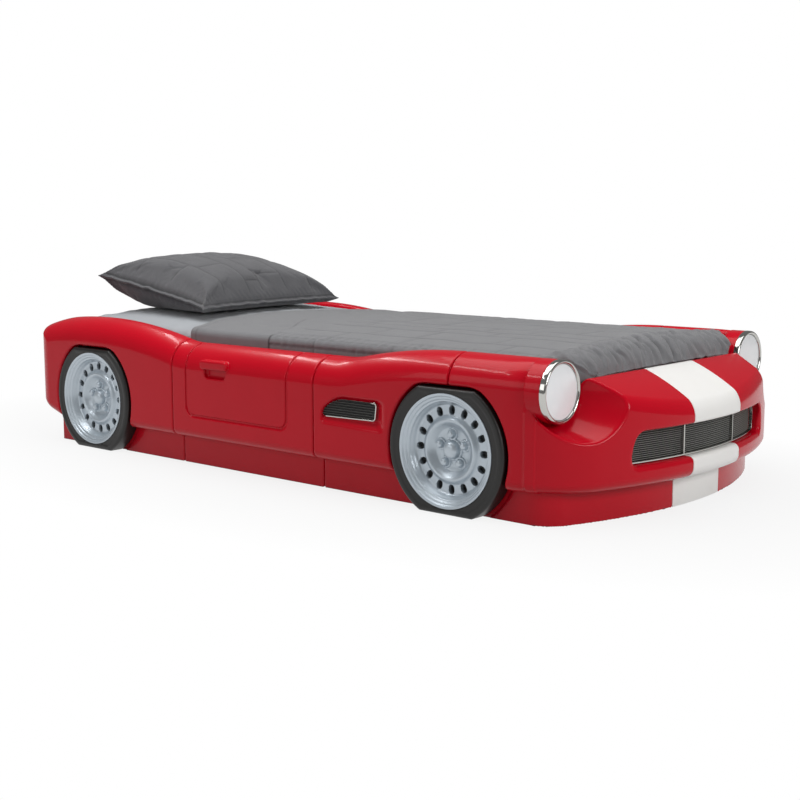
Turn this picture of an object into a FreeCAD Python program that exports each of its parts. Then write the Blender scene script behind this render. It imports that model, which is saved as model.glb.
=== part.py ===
import FreeCAD, Part
import os
from math import asin, atan2, cos, hypot, pi, radians, sin, sqrt, tan

# Car bed for children: a roadster made of moulded panels round a twin mattress.
# Frame: X runs along the bed, +X to the car's nose, which is the foot of the bed.
# Y runs across it, -Y is the car's right side. Z is up from the floor, in millimetres.
# The origin is on the floor below the middle of the bed.

V = FreeCAD.Vector

# ---------------------------------------------------------------- driving dimensions
MATTRESS_LENGTH = 1905.0
MATTRESS_WIDTH = 965.0
MATTRESS_THICKNESS = 200.0
MATTRESS_HEAD_X = -1000.0
MATTRESS_CROWN = 22.0
SIDE_GAP = 9.5            # mattress to the panels' inner walls
HEAD_GAP = 10.0
FOOT_GAP = 20.0

PANEL_DEPTH = 104.0       # inner wall to outer side of a side panel
TAIL_DEPTH = 147.0
NOSE_DEPTH = 232.0
SKIRT_HEIGHT = 88.0
SKIRT_INSET = 45.0        # skirt behind the body side
SKIRT_FRONT_INSET = 60.0  # skirt behind the nose
SKIRT_REAR_INSET = 90.0
LOWER_BEVEL = 16.0        # bevel along the body's lower edge
FENDER_ROLL = 82.0        # radius along the fenders' outer top edge
INNER_ROLL = 20.0         # radius along the inner top edge
SEAM_GAP = 1.0

REAR_FENDER_REACH = 592.0     # well's rear wall to the seam with the door
FRONT_SEAM_SETBACK = 727.0    # door's front seam behind the well's front wall
NOSE_SEAM_SETBACK = 240.0     # nose's seam behind the well's front wall
DOOR_TOP = 381.0
DOOR_RISE_SETBACK = 660.0     # where the front fender starts to rise, behind the well's front wall
FRONT_CREST = 425.0       # top of the front fenders and lamp tubes
FRONT_SWEEP = 350.0       # radius of the hollow where the front fender rises
REAR_CREST = 435.0
REAR_CREST_REACH = 170.0      # well's rear wall to the highest point
REAR_CREST_RADIUS = 1900.0
REAR_SWEEP = 290.0        # radius of the hollow between the rear fender and the door
CREST_SPAN_COUNT = 6      # the crests and hollows run in short straight spans
SWEEP_SPAN_COUNT = 2
REAR_CORNER_RADIUS = 60.0
TAIL_TOP_RADIUS = 40.0
TAIL_SLOPE = 0.4          # rise of the fenders' ends above the tail's deck, per length
TAIL_DECK = 396.0
TAIL_LOWER_RISE = 42.0
TAIL_RISE_LENGTH = 130.0

NOSE_ARC_RADIUS = 1240.0
NOSE_CORNER_RADIUS = 230.0
SKIRT_CORNER_RADIUS = 90.0
HOOD_REAR_SETBACK = 65.0  # rear edge of the hood ahead of the well's front wall
HOOD_REAR_TOP = 371.0
HOOD_MIDDLE_SETBACK = 151.0
HOOD_MIDDLE_TOP = 331.0
HOOD_OVERSHOOT = 20.0     # the hood's slope is given this far ahead of the nose
HOOD_FRONT_TOP = 262.0
BROW_BEVEL = 14.0

LAMP_TUBE_LENGTH = 30.0   # lamp tube ahead of the well's front wall
SCOOP_START = 10.0        # from there back to where the scoop starts
SCOOP_LENGTH = 140.0      # from its start to where the flare reaches its full width
SCOOP_MOUTH_RADIUS = 156.0
SCOOP_FLARE_RADIUS = 60.0
BEZEL_LENGTH = 34.0
BEZEL_WALL = 8.5
BEZEL_LIP = 2.5
BEZEL_LIP_LENGTH = 4.0
LENS_SLACK = 0.7          # lens to bezel, all round
LENS_TRAVEL = 3.0
LENS_THICKNESS = 5.0
HOUSING_WALL = 3.0
HOUSING_DEPTH = 24.0
BOARD_THICKNESS = 2.0
BOARD_ACROSS = 120.0
SWITCH_ACROSS = 16.0
SWITCH_HEIGHT = 7.0
STEM_ACROSS = 12.0

GRILLE_LOW = 146.0
GRILLE_HIGH = 235.0
GRILLE_HALF_WIDTH = 356.0
GRILLE_END_RADIUS = 40.0
GRILLE_RECESS = 46.0
GRILLE_INSERT_HALF_WIDTH = 310.0
GRILLE_TRIM = 7.0
GRILLE_BAR_COUNT = 11
GRILLE_BAR_HEIGHT = 2.4
GRILLE_BAR_DEPTH = 9.0
GRILLE_BACK_THICKNESS = 4.0
GRILLE_SPAN_COUNT = 6
DIVIDER_WIDTH = 5.0
GRILLE_POST_GAP = 1.0     # bars to the posts in front of them
GRILLE_TRIM_PROUD = 3.0   # trim ahead of the bars

STRIPE_HALF_WIDTH = 130.0
STRIPE_THICKNESS = 3.0

WHEEL_Z = 169.0
FRONT_WHEEL_SETBACK = 245.0   # wheel's middle behind the well's front wall
REAR_WHEEL_REACH = 182.0      # wheel's middle ahead of the well's rear wall
TYRE_RADIUS = 190.0
TYRE_TOP = 335.0          # flat at the top of the moulded tyre
TYRE_PROUD = 6.0
ARCH_GAP = 8.0
RIM_RADIUS = 152.0
RIM_SLACK = 0.3
RIM_DEPTH = 30.0
RIM_DISH = 22.0
RIM_LIP = 8.0
RIM_SHOULDER = 26.0       # from the rim's outside in to the flat of its dish
RIM_PLATE_DROP = 3.0      # centre plate below the dish
RIM_HOLE_COUNT = 16
RIM_HOLE_CIRCLE = 102.0
RIM_HOLE_LONG = 22.0
RIM_HOLE_SHORT = 18.0
RIM_HOLE_DEPTH = 5.0
RIM_HOLE_SIDES = 6
BOWL_RADIUS = 88.0
BOWL_RING_HEIGHT = 8.0
BOWL_FLOOR_RADIUS = 56.0
HUB_RADIUS = 22.0
HUB_HEIGHT = 15.0
NUT_COUNT = 5
NUT_CIRCLE = 42.0
NUT_ACROSS = 20.0
NUT_HEIGHT = 10.0
NUT_START = 0.2           # first nut's turn, as a share of the nuts' spacing

DOOR_GROOVE_REAR_GAP = 68.0    # groove ahead of the door's rear seam
DOOR_GROOVE_FRONT_GAP = 107.0  # groove behind the door's front seam
DOOR_GROOVE_LOW = 161.0
DOOR_GROOVE_WIDTH = 8.0
DOOR_GROOVE_DEPTH = 4.0
DOOR_GROOVE_RADIUS = 32.0
HANDLE_REACH = 200.0      # handle's middle ahead of the door's rear seam
HANDLE_LENGTH = 120.0
HANDLE_Z = 325.0
HANDLE_HEIGHT = 28.0
HANDLE_PROUD = 8.0
HANDLE_CORNER = 10.0
GRIP_HEIGHT = 24.0
GRIP_DEPTH = 14.0
GRIP_TAPER = 25.0

VENT_SETBACK = 691.0      # vent's rear end behind the well's front wall
VENT_LENGTH = 198.0
VENT_Z = 244.0
VENT_HEIGHT = 48.0
VENT_SLANT = 44.0         # rear upper corner ahead of the rear end
VENT_NOTCH = 8.0
VENT_MARGIN = 12.0        # recess round the louvre plate
VENT_DEPTH = 14.0
VENT_PLATE = 4.0
VENT_LOUVRE_DEPTH = 9.0
VENT_LOUVRES = 5
VENT_TRIM = 5.0
VENT_TRIM_DEPTH = 10.5

DECK_THICKNESS = 18.0
MATTRESS_BASE = 228.0     # top of the slats
SLAT_COUNT = 12
SLAT_WIDTH = 90.0
SLAT_END_GAP = 3.0
LEDGE_WIDTH = 38.0
LEDGE_HEIGHT = 40.0
LEDGE_END_GAP = 6.0
BEAM_WIDTH = 45.0
BEAM_HEIGHT = 70.0
LEG_SIZE = 45.0
LEG_COUNT = 4
PLATE_LENGTH = 110.0
PLATE_HEIGHT = 90.0
PLATE_THICKNESS = 4.0
PLATE_Z = 60.0
BOLT_ACROSS = 17.0
BOLT_HEAD = 7.0
BOLT_SPREAD = 60.0

SHEET_THICKNESS = 2.0
CLOTH_GAP = 0.3
HEAD_PUFF = 20.0
MATTRESS_EDGE = 34.0
QUILT_HEAD_REACH = 605.0  # mattress's head to the quilt's head edge
QUILT_THICKNESS = 8.0
QUILT_SIDE_DROP = 120.0
QUILT_CLEARANCE = 0.7
QUILT_FOOT_REACH = 78.0
QUILT_GATHER_COUNT = 4
CROWN_LIFT = 0.05         # crown above the flat between the rolled edges
QUILT_PLEAT = 5.0
PILLOW_LENGTH = 723.0
PILLOW_WIDTH = 529.0
PILLOW_THICKNESS = 190.0
PILLOW_REACH = 175.0      # mattress's head to the pillow's middle
PILLOW_Y = -15.0
PILLOW_Z = 515.0
PILLOW_TILT = 11.0
PILLOW_TURN = 5.5
PILLOW_FLANGE = 14.0
PILLOW_FLANGE_THICKNESS = 5.0
PILLOW_WAIST = 0.95       # how far the sides are drawn in between the corners
PILLOW_LEVEL = 0.3        # share of the pillow's span that is level on top

# ---------------------------------------------------------------- worked-out places
WELL_HALF = MATTRESS_WIDTH / 2 + SIDE_GAP
BODY_HALF = WELL_HALF + PANEL_DEPTH
SKIRT_HALF = BODY_HALF - SKIRT_INSET
MATTRESS_FOOT_X = MATTRESS_HEAD_X + MATTRESS_LENGTH
WELL_REAR_X = MATTRESS_HEAD_X - HEAD_GAP
WELL_FRONT_X = MATTRESS_FOOT_X + FOOT_GAP
REAR_X = WELL_REAR_X - TAIL_DEPTH
NOSE_X = WELL_FRONT_X + NOSE_DEPTH
NOSE_ARC_CENTRE_X = NOSE_X - NOSE_ARC_RADIUS
LAMP_Y = BODY_HALF - FENDER_ROLL
LAMP_Z = FRONT_CREST - FENDER_ROLL
TUBE_FRONT_X = WELL_FRONT_X + LAMP_TUBE_LENGTH
REAR_SEAM_X = WELL_REAR_X + REAR_FENDER_REACH
FRONT_SEAM_X = WELL_FRONT_X - FRONT_SEAM_SETBACK
NOSE_SEAM_X = WELL_FRONT_X - NOSE_SEAM_SETBACK
DOOR_RISE_X = WELL_FRONT_X - DOOR_RISE_SETBACK
REAR_CREST_X = WELL_REAR_X + REAR_CREST_REACH
FRONT_WHEEL_X = WELL_FRONT_X - FRONT_WHEEL_SETBACK
REAR_WHEEL_X = WELL_REAR_X + REAR_WHEEL_REACH
DOOR_GROOVE_REAR_X = REAR_SEAM_X + DOOR_GROOVE_REAR_GAP
DOOR_GROOVE_FRONT_X = FRONT_SEAM_X - DOOR_GROOVE_FRONT_GAP
HANDLE_X = REAR_SEAM_X + HANDLE_REACH
VENT_REAR_X = WELL_FRONT_X - VENT_SETBACK
QUILT_HEAD_X = MATTRESS_HEAD_X + QUILT_HEAD_REACH
PILLOW_X = MATTRESS_HEAD_X + PILLOW_REACH
TALL = 2 * REAR_CREST     # cutting blocks reach this high and this far out
WIDE = 2 * BODY_HALF
OVERLAP = 1.0             # cutting and joining blocks run this far past the face they work on
TINY = 0.01


# ---------------------------------------------------------------- helpers
def rounded_wire(corners, place):
    """Closed wire through (u, v, radius) corners, each rounded by an arc tangent to both its sides."""
    joints = []
    for i, (u, v, radius) in enumerate(corners):
        corner = V(u, v, 0)
        before = (V(*corners[i - 1][:2], 0) - corner).normalize()
        after = (V(*corners[(i + 1) % len(corners)][:2], 0) - corner).normalize()
        if radius == 0:
            joints.append((corner, None, corner))
            continue
        half = before.getAngle(after) / 2
        inward = (before + after).normalize()
        reach = radius / tan(half)
        middle = corner + inward * (radius / sin(half) - radius)
        joints.append((corner + before * reach, middle, corner + after * reach))
    edges = []
    for i, (start, middle, end) in enumerate(joints):
        if middle is not None:
            edges.append(Part.Arc(place(start.x, start.y), place(middle.x, middle.y), place(end.x, end.y)).toShape())
        following = joints[(i + 1) % len(joints)][0]
        if (following - end).Length > 1e-6:
            edges.append(Part.makeLine(place(end.x, end.y), place(following.x, following.y)))
    return Part.Wire(edges)


def prism(wire, reach):
    return Part.Face(wire).extrude(reach)


def box(x0, x1, y0, y1, z0, z1):
    return Part.makeBox(x1 - x0, y1 - y0, z1 - z0, V(x0, y0, z0))


def in_side_view(depth):
    """Places (x, z) on the plane that stands this far out on the car's right side."""
    return lambda x, z: V(x, -depth, z)


def in_plan(z):
    return lambda x, y: V(x, y, z)


def mirrored(shape):
    return shape.mirror(V(0, 0, 0), V(0, 1, 0))


def both_sides(shape):
    return Part.makeCompound([shape, mirrored(shape)])


def turned(profile, centre, axis):
    """Full turn of a closed profile wire round an axis."""
    return Part.Face(profile).revolve(centre, axis, 360)


def export(name, shape):
    shape.exportStep(os.path.join("parts", name + ".step"))
    print(name, "solids", len(shape.Solids), "valid", shape.isValid(), "litres", round(shape.Volume / 1e6, 3))


# ---------------------------------------------------------------- side panels
def spans_about(centre, start, end, count):
    """Points along the arc from start to end round a centre, all in (x, z), so that it runs in short spans."""
    first = atan2(start[1] - centre[1], start[0] - centre[0])
    last = atan2(end[1] - centre[1], end[0] - centre[0])
    reach = hypot(start[0] - centre[0], start[1] - centre[1])
    bearings = [first + (last - first) * i / count for i in range(count + 1)]
    return [(centre[0] + reach * cos(b), centre[1] + reach * sin(b)) for b in bearings]


def part_way(start, end, share):
    return (start[0] + (end[0] - start[0]) * share, start[1] + (end[1] - start[1]) * share)


def crest_line(drop):
    """The line of the fenders and doors from tail to lamp: crest, hollow, door, hollow, crest, lamp tube."""
    door = DOOR_TOP - drop
    rear_centre = (REAR_CREST_X, REAR_CREST - drop - REAR_CREST_RADIUS)
    rear_sum = REAR_CREST_RADIUS + REAR_SWEEP
    dip_x = REAR_CREST_X + sqrt(rear_sum ** 2 - (door + REAR_SWEEP - rear_centre[1]) ** 2)
    dip_centre = (dip_x, door + REAR_SWEEP)
    rear_meet = part_way(rear_centre, dip_centre, REAR_CREST_RADIUS / rear_sum)
    rear_end = (REAR_X, rear_centre[1] + sqrt(REAR_CREST_RADIUS ** 2 - (REAR_X - REAR_CREST_X) ** 2))
    run = NOSE_SEAM_X - DOOR_RISE_X
    rise = FRONT_CREST - DOOR_TOP
    front_sum = (run ** 2 + rise ** 2) / (2 * rise)
    rise_centre = (DOOR_RISE_X, door + FRONT_SWEEP)
    front_centre = (NOSE_SEAM_X, FRONT_CREST - drop - (front_sum - FRONT_SWEEP))
    front_meet = part_way(rise_centre, front_centre, FRONT_SWEEP / front_sum)
    crest = (NOSE_SEAM_X, FRONT_CREST - drop)
    line = spans_about(rear_centre, rear_end, rear_meet, CREST_SPAN_COUNT)
    line += spans_about(dip_centre, rear_meet, (dip_x, door), SWEEP_SPAN_COUNT)[1:]
    line += spans_about(rise_centre, (DOOR_RISE_X, door), front_meet, SWEEP_SPAN_COUNT)
    line += spans_about(front_centre, front_meet, crest, CREST_SPAN_COUNT // 2)[1:]
    return line + [(TUBE_FRONT_X, FRONT_CREST - drop)]


def side_body(inset=0.0):
    """The whole right side above its skirt, before it is split at the seams: a tall slab, edges rolled."""
    place = in_side_view(WELL_HALF)
    ring = [place(*point) for point in crest_line(inset)]
    ring += [place(TUBE_FRONT_X, SKIRT_HEIGHT), place(REAR_X, SKIRT_HEIGHT), ring[0]]
    body = prism(Part.makePolygon(ring), V(0, -(PANEL_DEPTH - inset), 0))
    body = body.makeFillet(FENDER_ROLL - inset, long_edges(body, -(BODY_HALF - inset), True))
    body = body.makeFillet(INNER_ROLL - inset, long_edges(body, -WELL_HALF, True))
    return body.makeChamfer(LOWER_BEVEL, long_edges(body, -(BODY_HALF - inset), False))


def long_edges(body, y, upper):
    """The body's edges at this y that run along the bed: those of its crest, or the lowest one."""
    found = []
    for edge in body.Edges:
        bounds = edge.BoundBox
        level = abs(bounds.YMin - y) < TINY and abs(bounds.YMax - y) < TINY
        high = bounds.ZMin > SKIRT_HEIGHT + LOWER_BEVEL + OVERLAP
        if level and bounds.XLength > OVERLAP and high == upper:
            found.append(edge)
    return found


def side_piece(body, start_x, end_x):
    """The length of the side body between two seams, with the skirt below it."""
    upper = body.common(box(start_x, end_x, -WIDE, 0, 0, TALL))
    return upper.fuse(skirt_wall(start_x, end_x)).removeSplitter()


def skirt_wall(start_x, end_x):
    return box(start_x, end_x, -SKIRT_HALF, -WELL_HALF, 0, SKIRT_HEIGHT)


def flat_ended_circle(centre_x, radius, low, high, depth):
    """Outline of a wheel seen from the side: a circle cut off flat at the floor and at the top."""
    place = in_side_view(depth)
    low_half = sqrt(radius ** 2 - (WHEEL_Z - low) ** 2)
    high_half = sqrt(radius ** 2 - (high - WHEEL_Z) ** 2)
    front = Part.Arc(
        place(centre_x + low_half, low), place(centre_x + radius, WHEEL_Z), place(centre_x + high_half, high)
    )
    rear = Part.Arc(
        place(centre_x - high_half, high), place(centre_x - radius, WHEEL_Z), place(centre_x - low_half, low)
    )
    top = Part.makeLine(place(centre_x + high_half, high), place(centre_x - high_half, high))
    floor = Part.makeLine(place(centre_x - low_half, low), place(centre_x + low_half, low))
    return Part.Wire([front.toShape(), top, rear.toShape(), floor])


def arch_cutter(centre_x):
    """The space of a wheel arch, from the skirt's face outwards, with a gap all round the tyre."""
    outline = flat_ended_circle(centre_x, TYRE_RADIUS + ARCH_GAP, 0, TYRE_TOP + ARCH_GAP, SKIRT_HALF)
    return prism(outline, V(0, -WIDE, 0))


def rear_fender(body):
    """Rear side panel: crested fender, wheel arch, rounded rear corner and raised tail end."""
    end_x = REAR_SEAM_X - SEAM_GAP
    plan = rounded_wire(
        [
            (REAR_X, -WELL_HALF, 0),
            (REAR_X, -BODY_HALF, REAR_CORNER_RADIUS),
            (end_x, -BODY_HALF, 0),
            (end_x, -WELL_HALF, 0),
        ],
        in_plan(0),
    )
    upper = body.common(prism(plan, V(0, 0, TALL)))
    upper = upper.common(tail_profile(REAR_SEAM_X))
    skirt = skirt_wall(REAR_X + SKIRT_REAR_INSET, end_x)
    return upper.fuse(skirt).removeSplitter().cut(arch_cutter(REAR_WHEEL_X))


def tail_profile(front_x):
    """Side profile of the tail, right across the bed: rolled top edge and a lower edge that rises."""
    outline = rounded_wire(
        [
            (front_x, SKIRT_HEIGHT, 0),
            (front_x, TALL, 0),
            (REAR_X + TAIL_DEPTH, TALL, 0),
            (REAR_X + TAIL_DEPTH, TAIL_DECK + TAIL_DEPTH * TAIL_SLOPE, 0),
            (REAR_X, TAIL_DECK, TAIL_TOP_RADIUS),
            (REAR_X, SKIRT_HEIGHT + TAIL_LOWER_RISE, LOWER_BEVEL),
            (REAR_X + TAIL_RISE_LENGTH, SKIRT_HEIGHT, 0),
        ],
        in_side_view(-WIDE),
    )
    return prism(outline, V(0, -2 * WIDE, 0))


def door(body):
    """Middle side panel with the outline of a door pressed in, a handle and a finger recess below it."""
    panel = side_piece(body, REAR_SEAM_X + SEAM_GAP, FRONT_SEAM_X - SEAM_GAP)
    groove = door_groove_band().cut(side_body(DOOR_GROOVE_DEPTH))
    panel = panel.cut(groove).cut(finger_recess())
    return panel.fuse(handle_bar())


def door_groove_band():
    """Upright band, as wide as the groove, that runs down, along and up again like the gap of a door."""
    half = DOOR_GROOVE_WIDTH / 2

    def outline(grow):
        return rounded_wire(
            [
                (DOOR_GROOVE_REAR_X - grow, TALL, 0),
                (DOOR_GROOVE_REAR_X - grow, DOOR_GROOVE_LOW - grow, DOOR_GROOVE_RADIUS + grow),
                (DOOR_GROOVE_FRONT_X + grow, DOOR_GROOVE_LOW - grow, DOOR_GROOVE_RADIUS + grow),
                (DOOR_GROOVE_FRONT_X + grow, TALL, 0),
            ],
            in_side_view(WELL_HALF + INNER_ROLL),
        )

    reach = V(0, -WIDE, 0)
    return prism(outline(half), reach).cut(prism(outline(-half), reach))


def handle_bar():
    """The raised bar of the door handle, moulded with the panel."""
    half = HANDLE_LENGTH / 2
    low = HANDLE_Z - HANDLE_HEIGHT / 2
    high = HANDLE_Z + HANDLE_HEIGHT / 2
    outline = rounded_wire(
        [
            (HANDLE_X - half, low, HANDLE_CORNER),
            (HANDLE_X + half, low, HANDLE_CORNER),
            (HANDLE_X + half, high, HANDLE_CORNER),
            (HANDLE_X - half, high, HANDLE_CORNER),
        ],
        in_side_view(BODY_HALF - GRIP_DEPTH),
    )
    return prism(outline, V(0, -(GRIP_DEPTH + HANDLE_PROUD), 0))


def finger_recess():
    """Pocket below the handle, narrower at its foot, where the fingers go in."""
    half = HANDLE_LENGTH / 2
    high = HANDLE_Z - HANDLE_HEIGHT / 2 + HANDLE_CORNER
    low = HANDLE_Z - HANDLE_HEIGHT / 2 - GRIP_HEIGHT
    outline = rounded_wire(
        [
            (HANDLE_X - half + GRIP_TAPER, low, HANDLE_CORNER),
            (HANDLE_X + half - GRIP_TAPER, low, HANDLE_CORNER),
            (HANDLE_X + half - HANDLE_CORNER, high, 0),
            (HANDLE_X - half + HANDLE_CORNER, high, 0),
        ],
        in_side_view(BODY_HALF - GRIP_DEPTH),
    )
    return prism(outline, V(0, -WIDE, 0))


def front_fender(body):
    """Front side panel: its crest rises to the wheel arch, and a vent is pressed in behind the arch."""
    panel = side_piece(body, FRONT_SEAM_X + SEAM_GAP, NOSE_SEAM_X - SEAM_GAP)
    return panel.cut(arch_cutter(FRONT_WHEEL_X)).cut(vent_recess())


def vent_outline(margin, depth):
    """Outline of the side vent, this far outside its louvres: square at the front, slanting at the rear."""
    rear = VENT_REAR_X
    front = VENT_REAR_X + VENT_LENGTH
    low = VENT_Z - VENT_HEIGHT / 2
    high = VENT_Z + VENT_HEIGHT / 2
    place = in_side_view(depth)
    ring = [
        place(rear, low + VENT_NOTCH),
        place(rear + VENT_NOTCH, low),
        place(front, low),
        place(front, high),
        place(rear + VENT_SLANT, high),
    ]
    outline = Part.makePolygon(ring + ring[:1])
    if margin > 0:
        outline = outline.makeOffset2D(margin)
    return outline


def vent_recess():
    outline = vent_outline(VENT_MARGIN, BODY_HALF - VENT_DEPTH)
    return prism(outline, V(0, -WIDE, 0))


def vent_insert():
    """Black louvre plate in the recess: a thin back with louvres that stand out of it."""
    back = BODY_HALF - VENT_DEPTH
    outline = vent_outline(0, back)
    plate = prism(outline, V(0, -VENT_PLATE, 0))
    inside = prism(outline, V(0, -VENT_LOUVRE_DEPTH, 0))
    pitch = VENT_HEIGHT / (VENT_LOUVRES + 1)
    for i in range(VENT_LOUVRES):
        z = VENT_Z - VENT_HEIGHT / 2 + pitch * (i + 5 / 6)
        louvre = box(VENT_REAR_X, VENT_REAR_X + VENT_LENGTH, -back - VENT_LOUVRE_DEPTH, -back, z, z + pitch / 3)
        plate = plate.fuse(louvre.common(inside))
    return plate


def vent_trim():
    """Bright frame round the louvre plate."""
    back = BODY_HALF - VENT_DEPTH
    reach = V(0, -VENT_TRIM_DEPTH, 0)
    return prism(vent_outline(VENT_TRIM, back), reach).cut(prism(vent_outline(0, back), reach))


# ---------------------------------------------------------------- nose and tail
def nose_plan(half_width, front_x, corner_radius, rear_x):
    """Plan outline of the nose: straight sides, round corners and a front that is one wide arc."""
    centre_x = front_x - NOSE_ARC_RADIUS
    inner = NOSE_ARC_RADIUS - corner_radius
    corner_y = half_width - corner_radius
    corner_x = centre_x + sqrt(inner ** 2 - corner_y ** 2)
    bearing = asin(corner_y / inner)
    meet = (centre_x + NOSE_ARC_RADIUS * cos(bearing), NOSE_ARC_RADIUS * sin(bearing))
    middle_bearing = (pi / 2 + bearing) / 2
    middle = (corner_x + corner_radius * cos(middle_bearing), corner_y + corner_radius * sin(middle_bearing))
    right_corner = Part.Arc(V(corner_x, -half_width, 0), V(middle[0], -middle[1], 0), V(meet[0], -meet[1], 0))
    left_corner = Part.Arc(V(meet[0], meet[1], 0), V(middle[0], middle[1], 0), V(corner_x, half_width, 0))
    front = Part.Arc(V(meet[0], -meet[1], 0), V(front_x, 0, 0), V(meet[0], meet[1], 0))
    return Part.Wire(
        [
            Part.makeLine(V(rear_x, -half_width, 0), V(corner_x, -half_width, 0)),
            right_corner.toShape(),
            front.toShape(),
            left_corner.toShape(),
            Part.makeLine(V(corner_x, half_width, 0), V(rear_x, half_width, 0)),
            Part.makeLine(V(rear_x, half_width, 0), V(rear_x, -half_width, 0)),
        ]
    )


def hood_block(drop=0.0):
    """The nose between the fenders: its side profile runs from the well over the hood to the front."""
    place = in_side_view(-WIDE)
    rear = place(WELL_FRONT_X + HOOD_REAR_SETBACK, HOOD_REAR_TOP - drop)
    middle = place(WELL_FRONT_X + HOOD_MIDDLE_SETBACK, HOOD_MIDDLE_TOP - drop)
    ahead_x = NOSE_X + HOOD_OVERSHOOT
    corners = [
        place(ahead_x, HOOD_FRONT_TOP - drop),
        place(ahead_x, SKIRT_HEIGHT),
        place(WELL_FRONT_X, SKIRT_HEIGHT),
        place(WELL_FRONT_X, HOOD_REAR_TOP - HOOD_REAR_SETBACK - drop),
        rear,
    ]
    slope = Part.Arc(rear, middle, corners[0]).toShape()
    sides = [Part.makeLine(start, end) for start, end in zip(corners, corners[1:])]
    return prism(Part.Wire([slope] + sides), V(0, -2 * WIDE, 0))


def scoop():
    """The space round a headlamp: a trumpet on the lamp's axis that flares until it breaks the surface."""
    start_x = TUBE_FRONT_X - SCOOP_START
    ahead_x = NOSE_X + HOOD_OVERSHOOT
    profile = rounded_wire(
        [
            (start_x, 0, 0),
            (start_x, FENDER_ROLL + OVERLAP, 0),
            (start_x + SCOOP_LENGTH, SCOOP_MOUTH_RADIUS, SCOOP_FLARE_RADIUS),
            (ahead_x, SCOOP_MOUTH_RADIUS, 0),
            (ahead_x, 0, 0),
        ],
        lambda x, radius: V(x, -LAMP_Y, LAMP_Z + radius),
    )
    return turned(profile, V(0, -LAMP_Y, LAMP_Z), V(1, 0, 0))


def lamp_tube():
    """End of the fender that carries a headlamp: a round tube ahead of the well."""
    start = V(WELL_FRONT_X, -LAMP_Y, LAMP_Z)
    return Part.makeCylinder(FENDER_ROLL, TUBE_FRONT_X - WELL_FRONT_X, start, V(1, 0, 0))


def lamp_bore():
    start = V(TUBE_FRONT_X - HOUSING_DEPTH, -LAMP_Y, LAMP_Z)
    return Part.makeCylinder(FENDER_ROLL - BEZEL_WALL, HOUSING_DEPTH + OVERLAP, start, V(1, 0, 0))


def nose_upper(body):
    """Everything of the nose above its skirt, before the scoops, lamps and grille are cut."""
    rear_x = NOSE_SEAM_X + SEAM_GAP
    plan = prism(nose_plan(BODY_HALF, NOSE_X, NOSE_CORNER_RADIUS, rear_x), V(0, 0, TALL))
    plan.translate(V(0, 0, SKIRT_HEIGHT))
    lower_edges = [
        edge
        for edge in plan.Edges
        if abs(edge.BoundBox.ZMax - SKIRT_HEIGHT) < TINY and edge.BoundBox.XMax > rear_x + TINY
    ]
    plan = plan.makeChamfer(LOWER_BEVEL, lower_edges)
    front = hood_block().common(plan)
    front = front.makeChamfer(BROW_BEVEL, [edge for edge in front.Edges if is_brow(edge)])
    arm = body.common(box(rear_x, TUBE_FRONT_X - SCOOP_START, -WIDE, 0, 0, TALL)).common(plan)
    return front.fuse(arm).fuse(mirrored(arm))


def is_brow(edge):
    """True for the edges where the hood meets the upright front of the nose."""
    bounds = edge.BoundBox
    upright = bounds.ZMin < SKIRT_HEIGHT + LOWER_BEVEL + OVERLAP
    ahead = bounds.XMax > WELL_FRONT_X + HOOD_REAR_SETBACK + OVERLAP
    return ahead and not upright and bounds.YLength > OVERLAP


def grille_opening():
    """Space of the grille: a slot with round ends whose floor follows the front's arc."""
    slot = rounded_wire(
        [
            (-GRILLE_HALF_WIDTH, GRILLE_LOW, GRILLE_END_RADIUS),
            (GRILLE_HALF_WIDTH, GRILLE_LOW, GRILLE_END_RADIUS),
            (GRILLE_HALF_WIDTH, GRILLE_HIGH, GRILLE_END_RADIUS),
            (-GRILLE_HALF_WIDTH, GRILLE_HIGH, GRILLE_END_RADIUS),
        ],
        lambda y, z: V(WELL_FRONT_X, y, z),
    )
    return prism(slot, V(2 * NOSE_DEPTH, 0, 0)).cut(front_cylinder(GRILLE_RECESS, 0, TALL))


def front_cylinder(inset, low, high):
    """Upright cylinder on the centre of the nose's arc, this far inside its front."""
    return Part.makeCylinder(NOSE_ARC_RADIUS - inset, high - low, V(NOSE_ARC_CENTRE_X, 0, low))


def nose_skirt():
    plan = nose_plan(SKIRT_HALF, NOSE_X - SKIRT_FRONT_INSET, SKIRT_CORNER_RADIUS, NOSE_SEAM_X + SEAM_GAP)
    well = box(NOSE_SEAM_X, WELL_FRONT_X, -WELL_HALF, WELL_HALF, -OVERLAP, SKIRT_HEIGHT + OVERLAP)
    return prism(plan, V(0, 0, SKIRT_HEIGHT)).cut(well)


def nose(side):
    """The whole nose moulding, with its scoops, lamp tubes, arches, grille opening and skirt."""
    body = nose_upper(side)
    body = body.cut(scoop()).cut(mirrored(scoop()))
    body = body.cut(grille_opening())
    body = body.fuse(nose_skirt())
    body = body.fuse(lamp_tube()).fuse(mirrored(lamp_tube()))
    for cutter in (lamp_bore(), arch_cutter(FRONT_WHEEL_X)):
        body = body.cut(cutter).cut(mirrored(cutter))
    return body


def hood_stripe_space():
    """Shallow space of the white band on the hood and brow: all that lies above the hood's sunk surface."""
    start_x = WELL_FRONT_X + HOOD_REAR_SETBACK
    half = STRIPE_HALF_WIDTH
    core = hood_block(STRIPE_THICKNESS).common(front_cylinder(STRIPE_THICKNESS, 0, TALL))
    core = core.makeChamfer(BROW_BEVEL, [edge for edge in core.Edges if is_brow(edge)])
    return box(start_x, NOSE_X + OVERLAP, -half, half, GRILLE_HIGH, TALL).cut(core)


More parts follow.
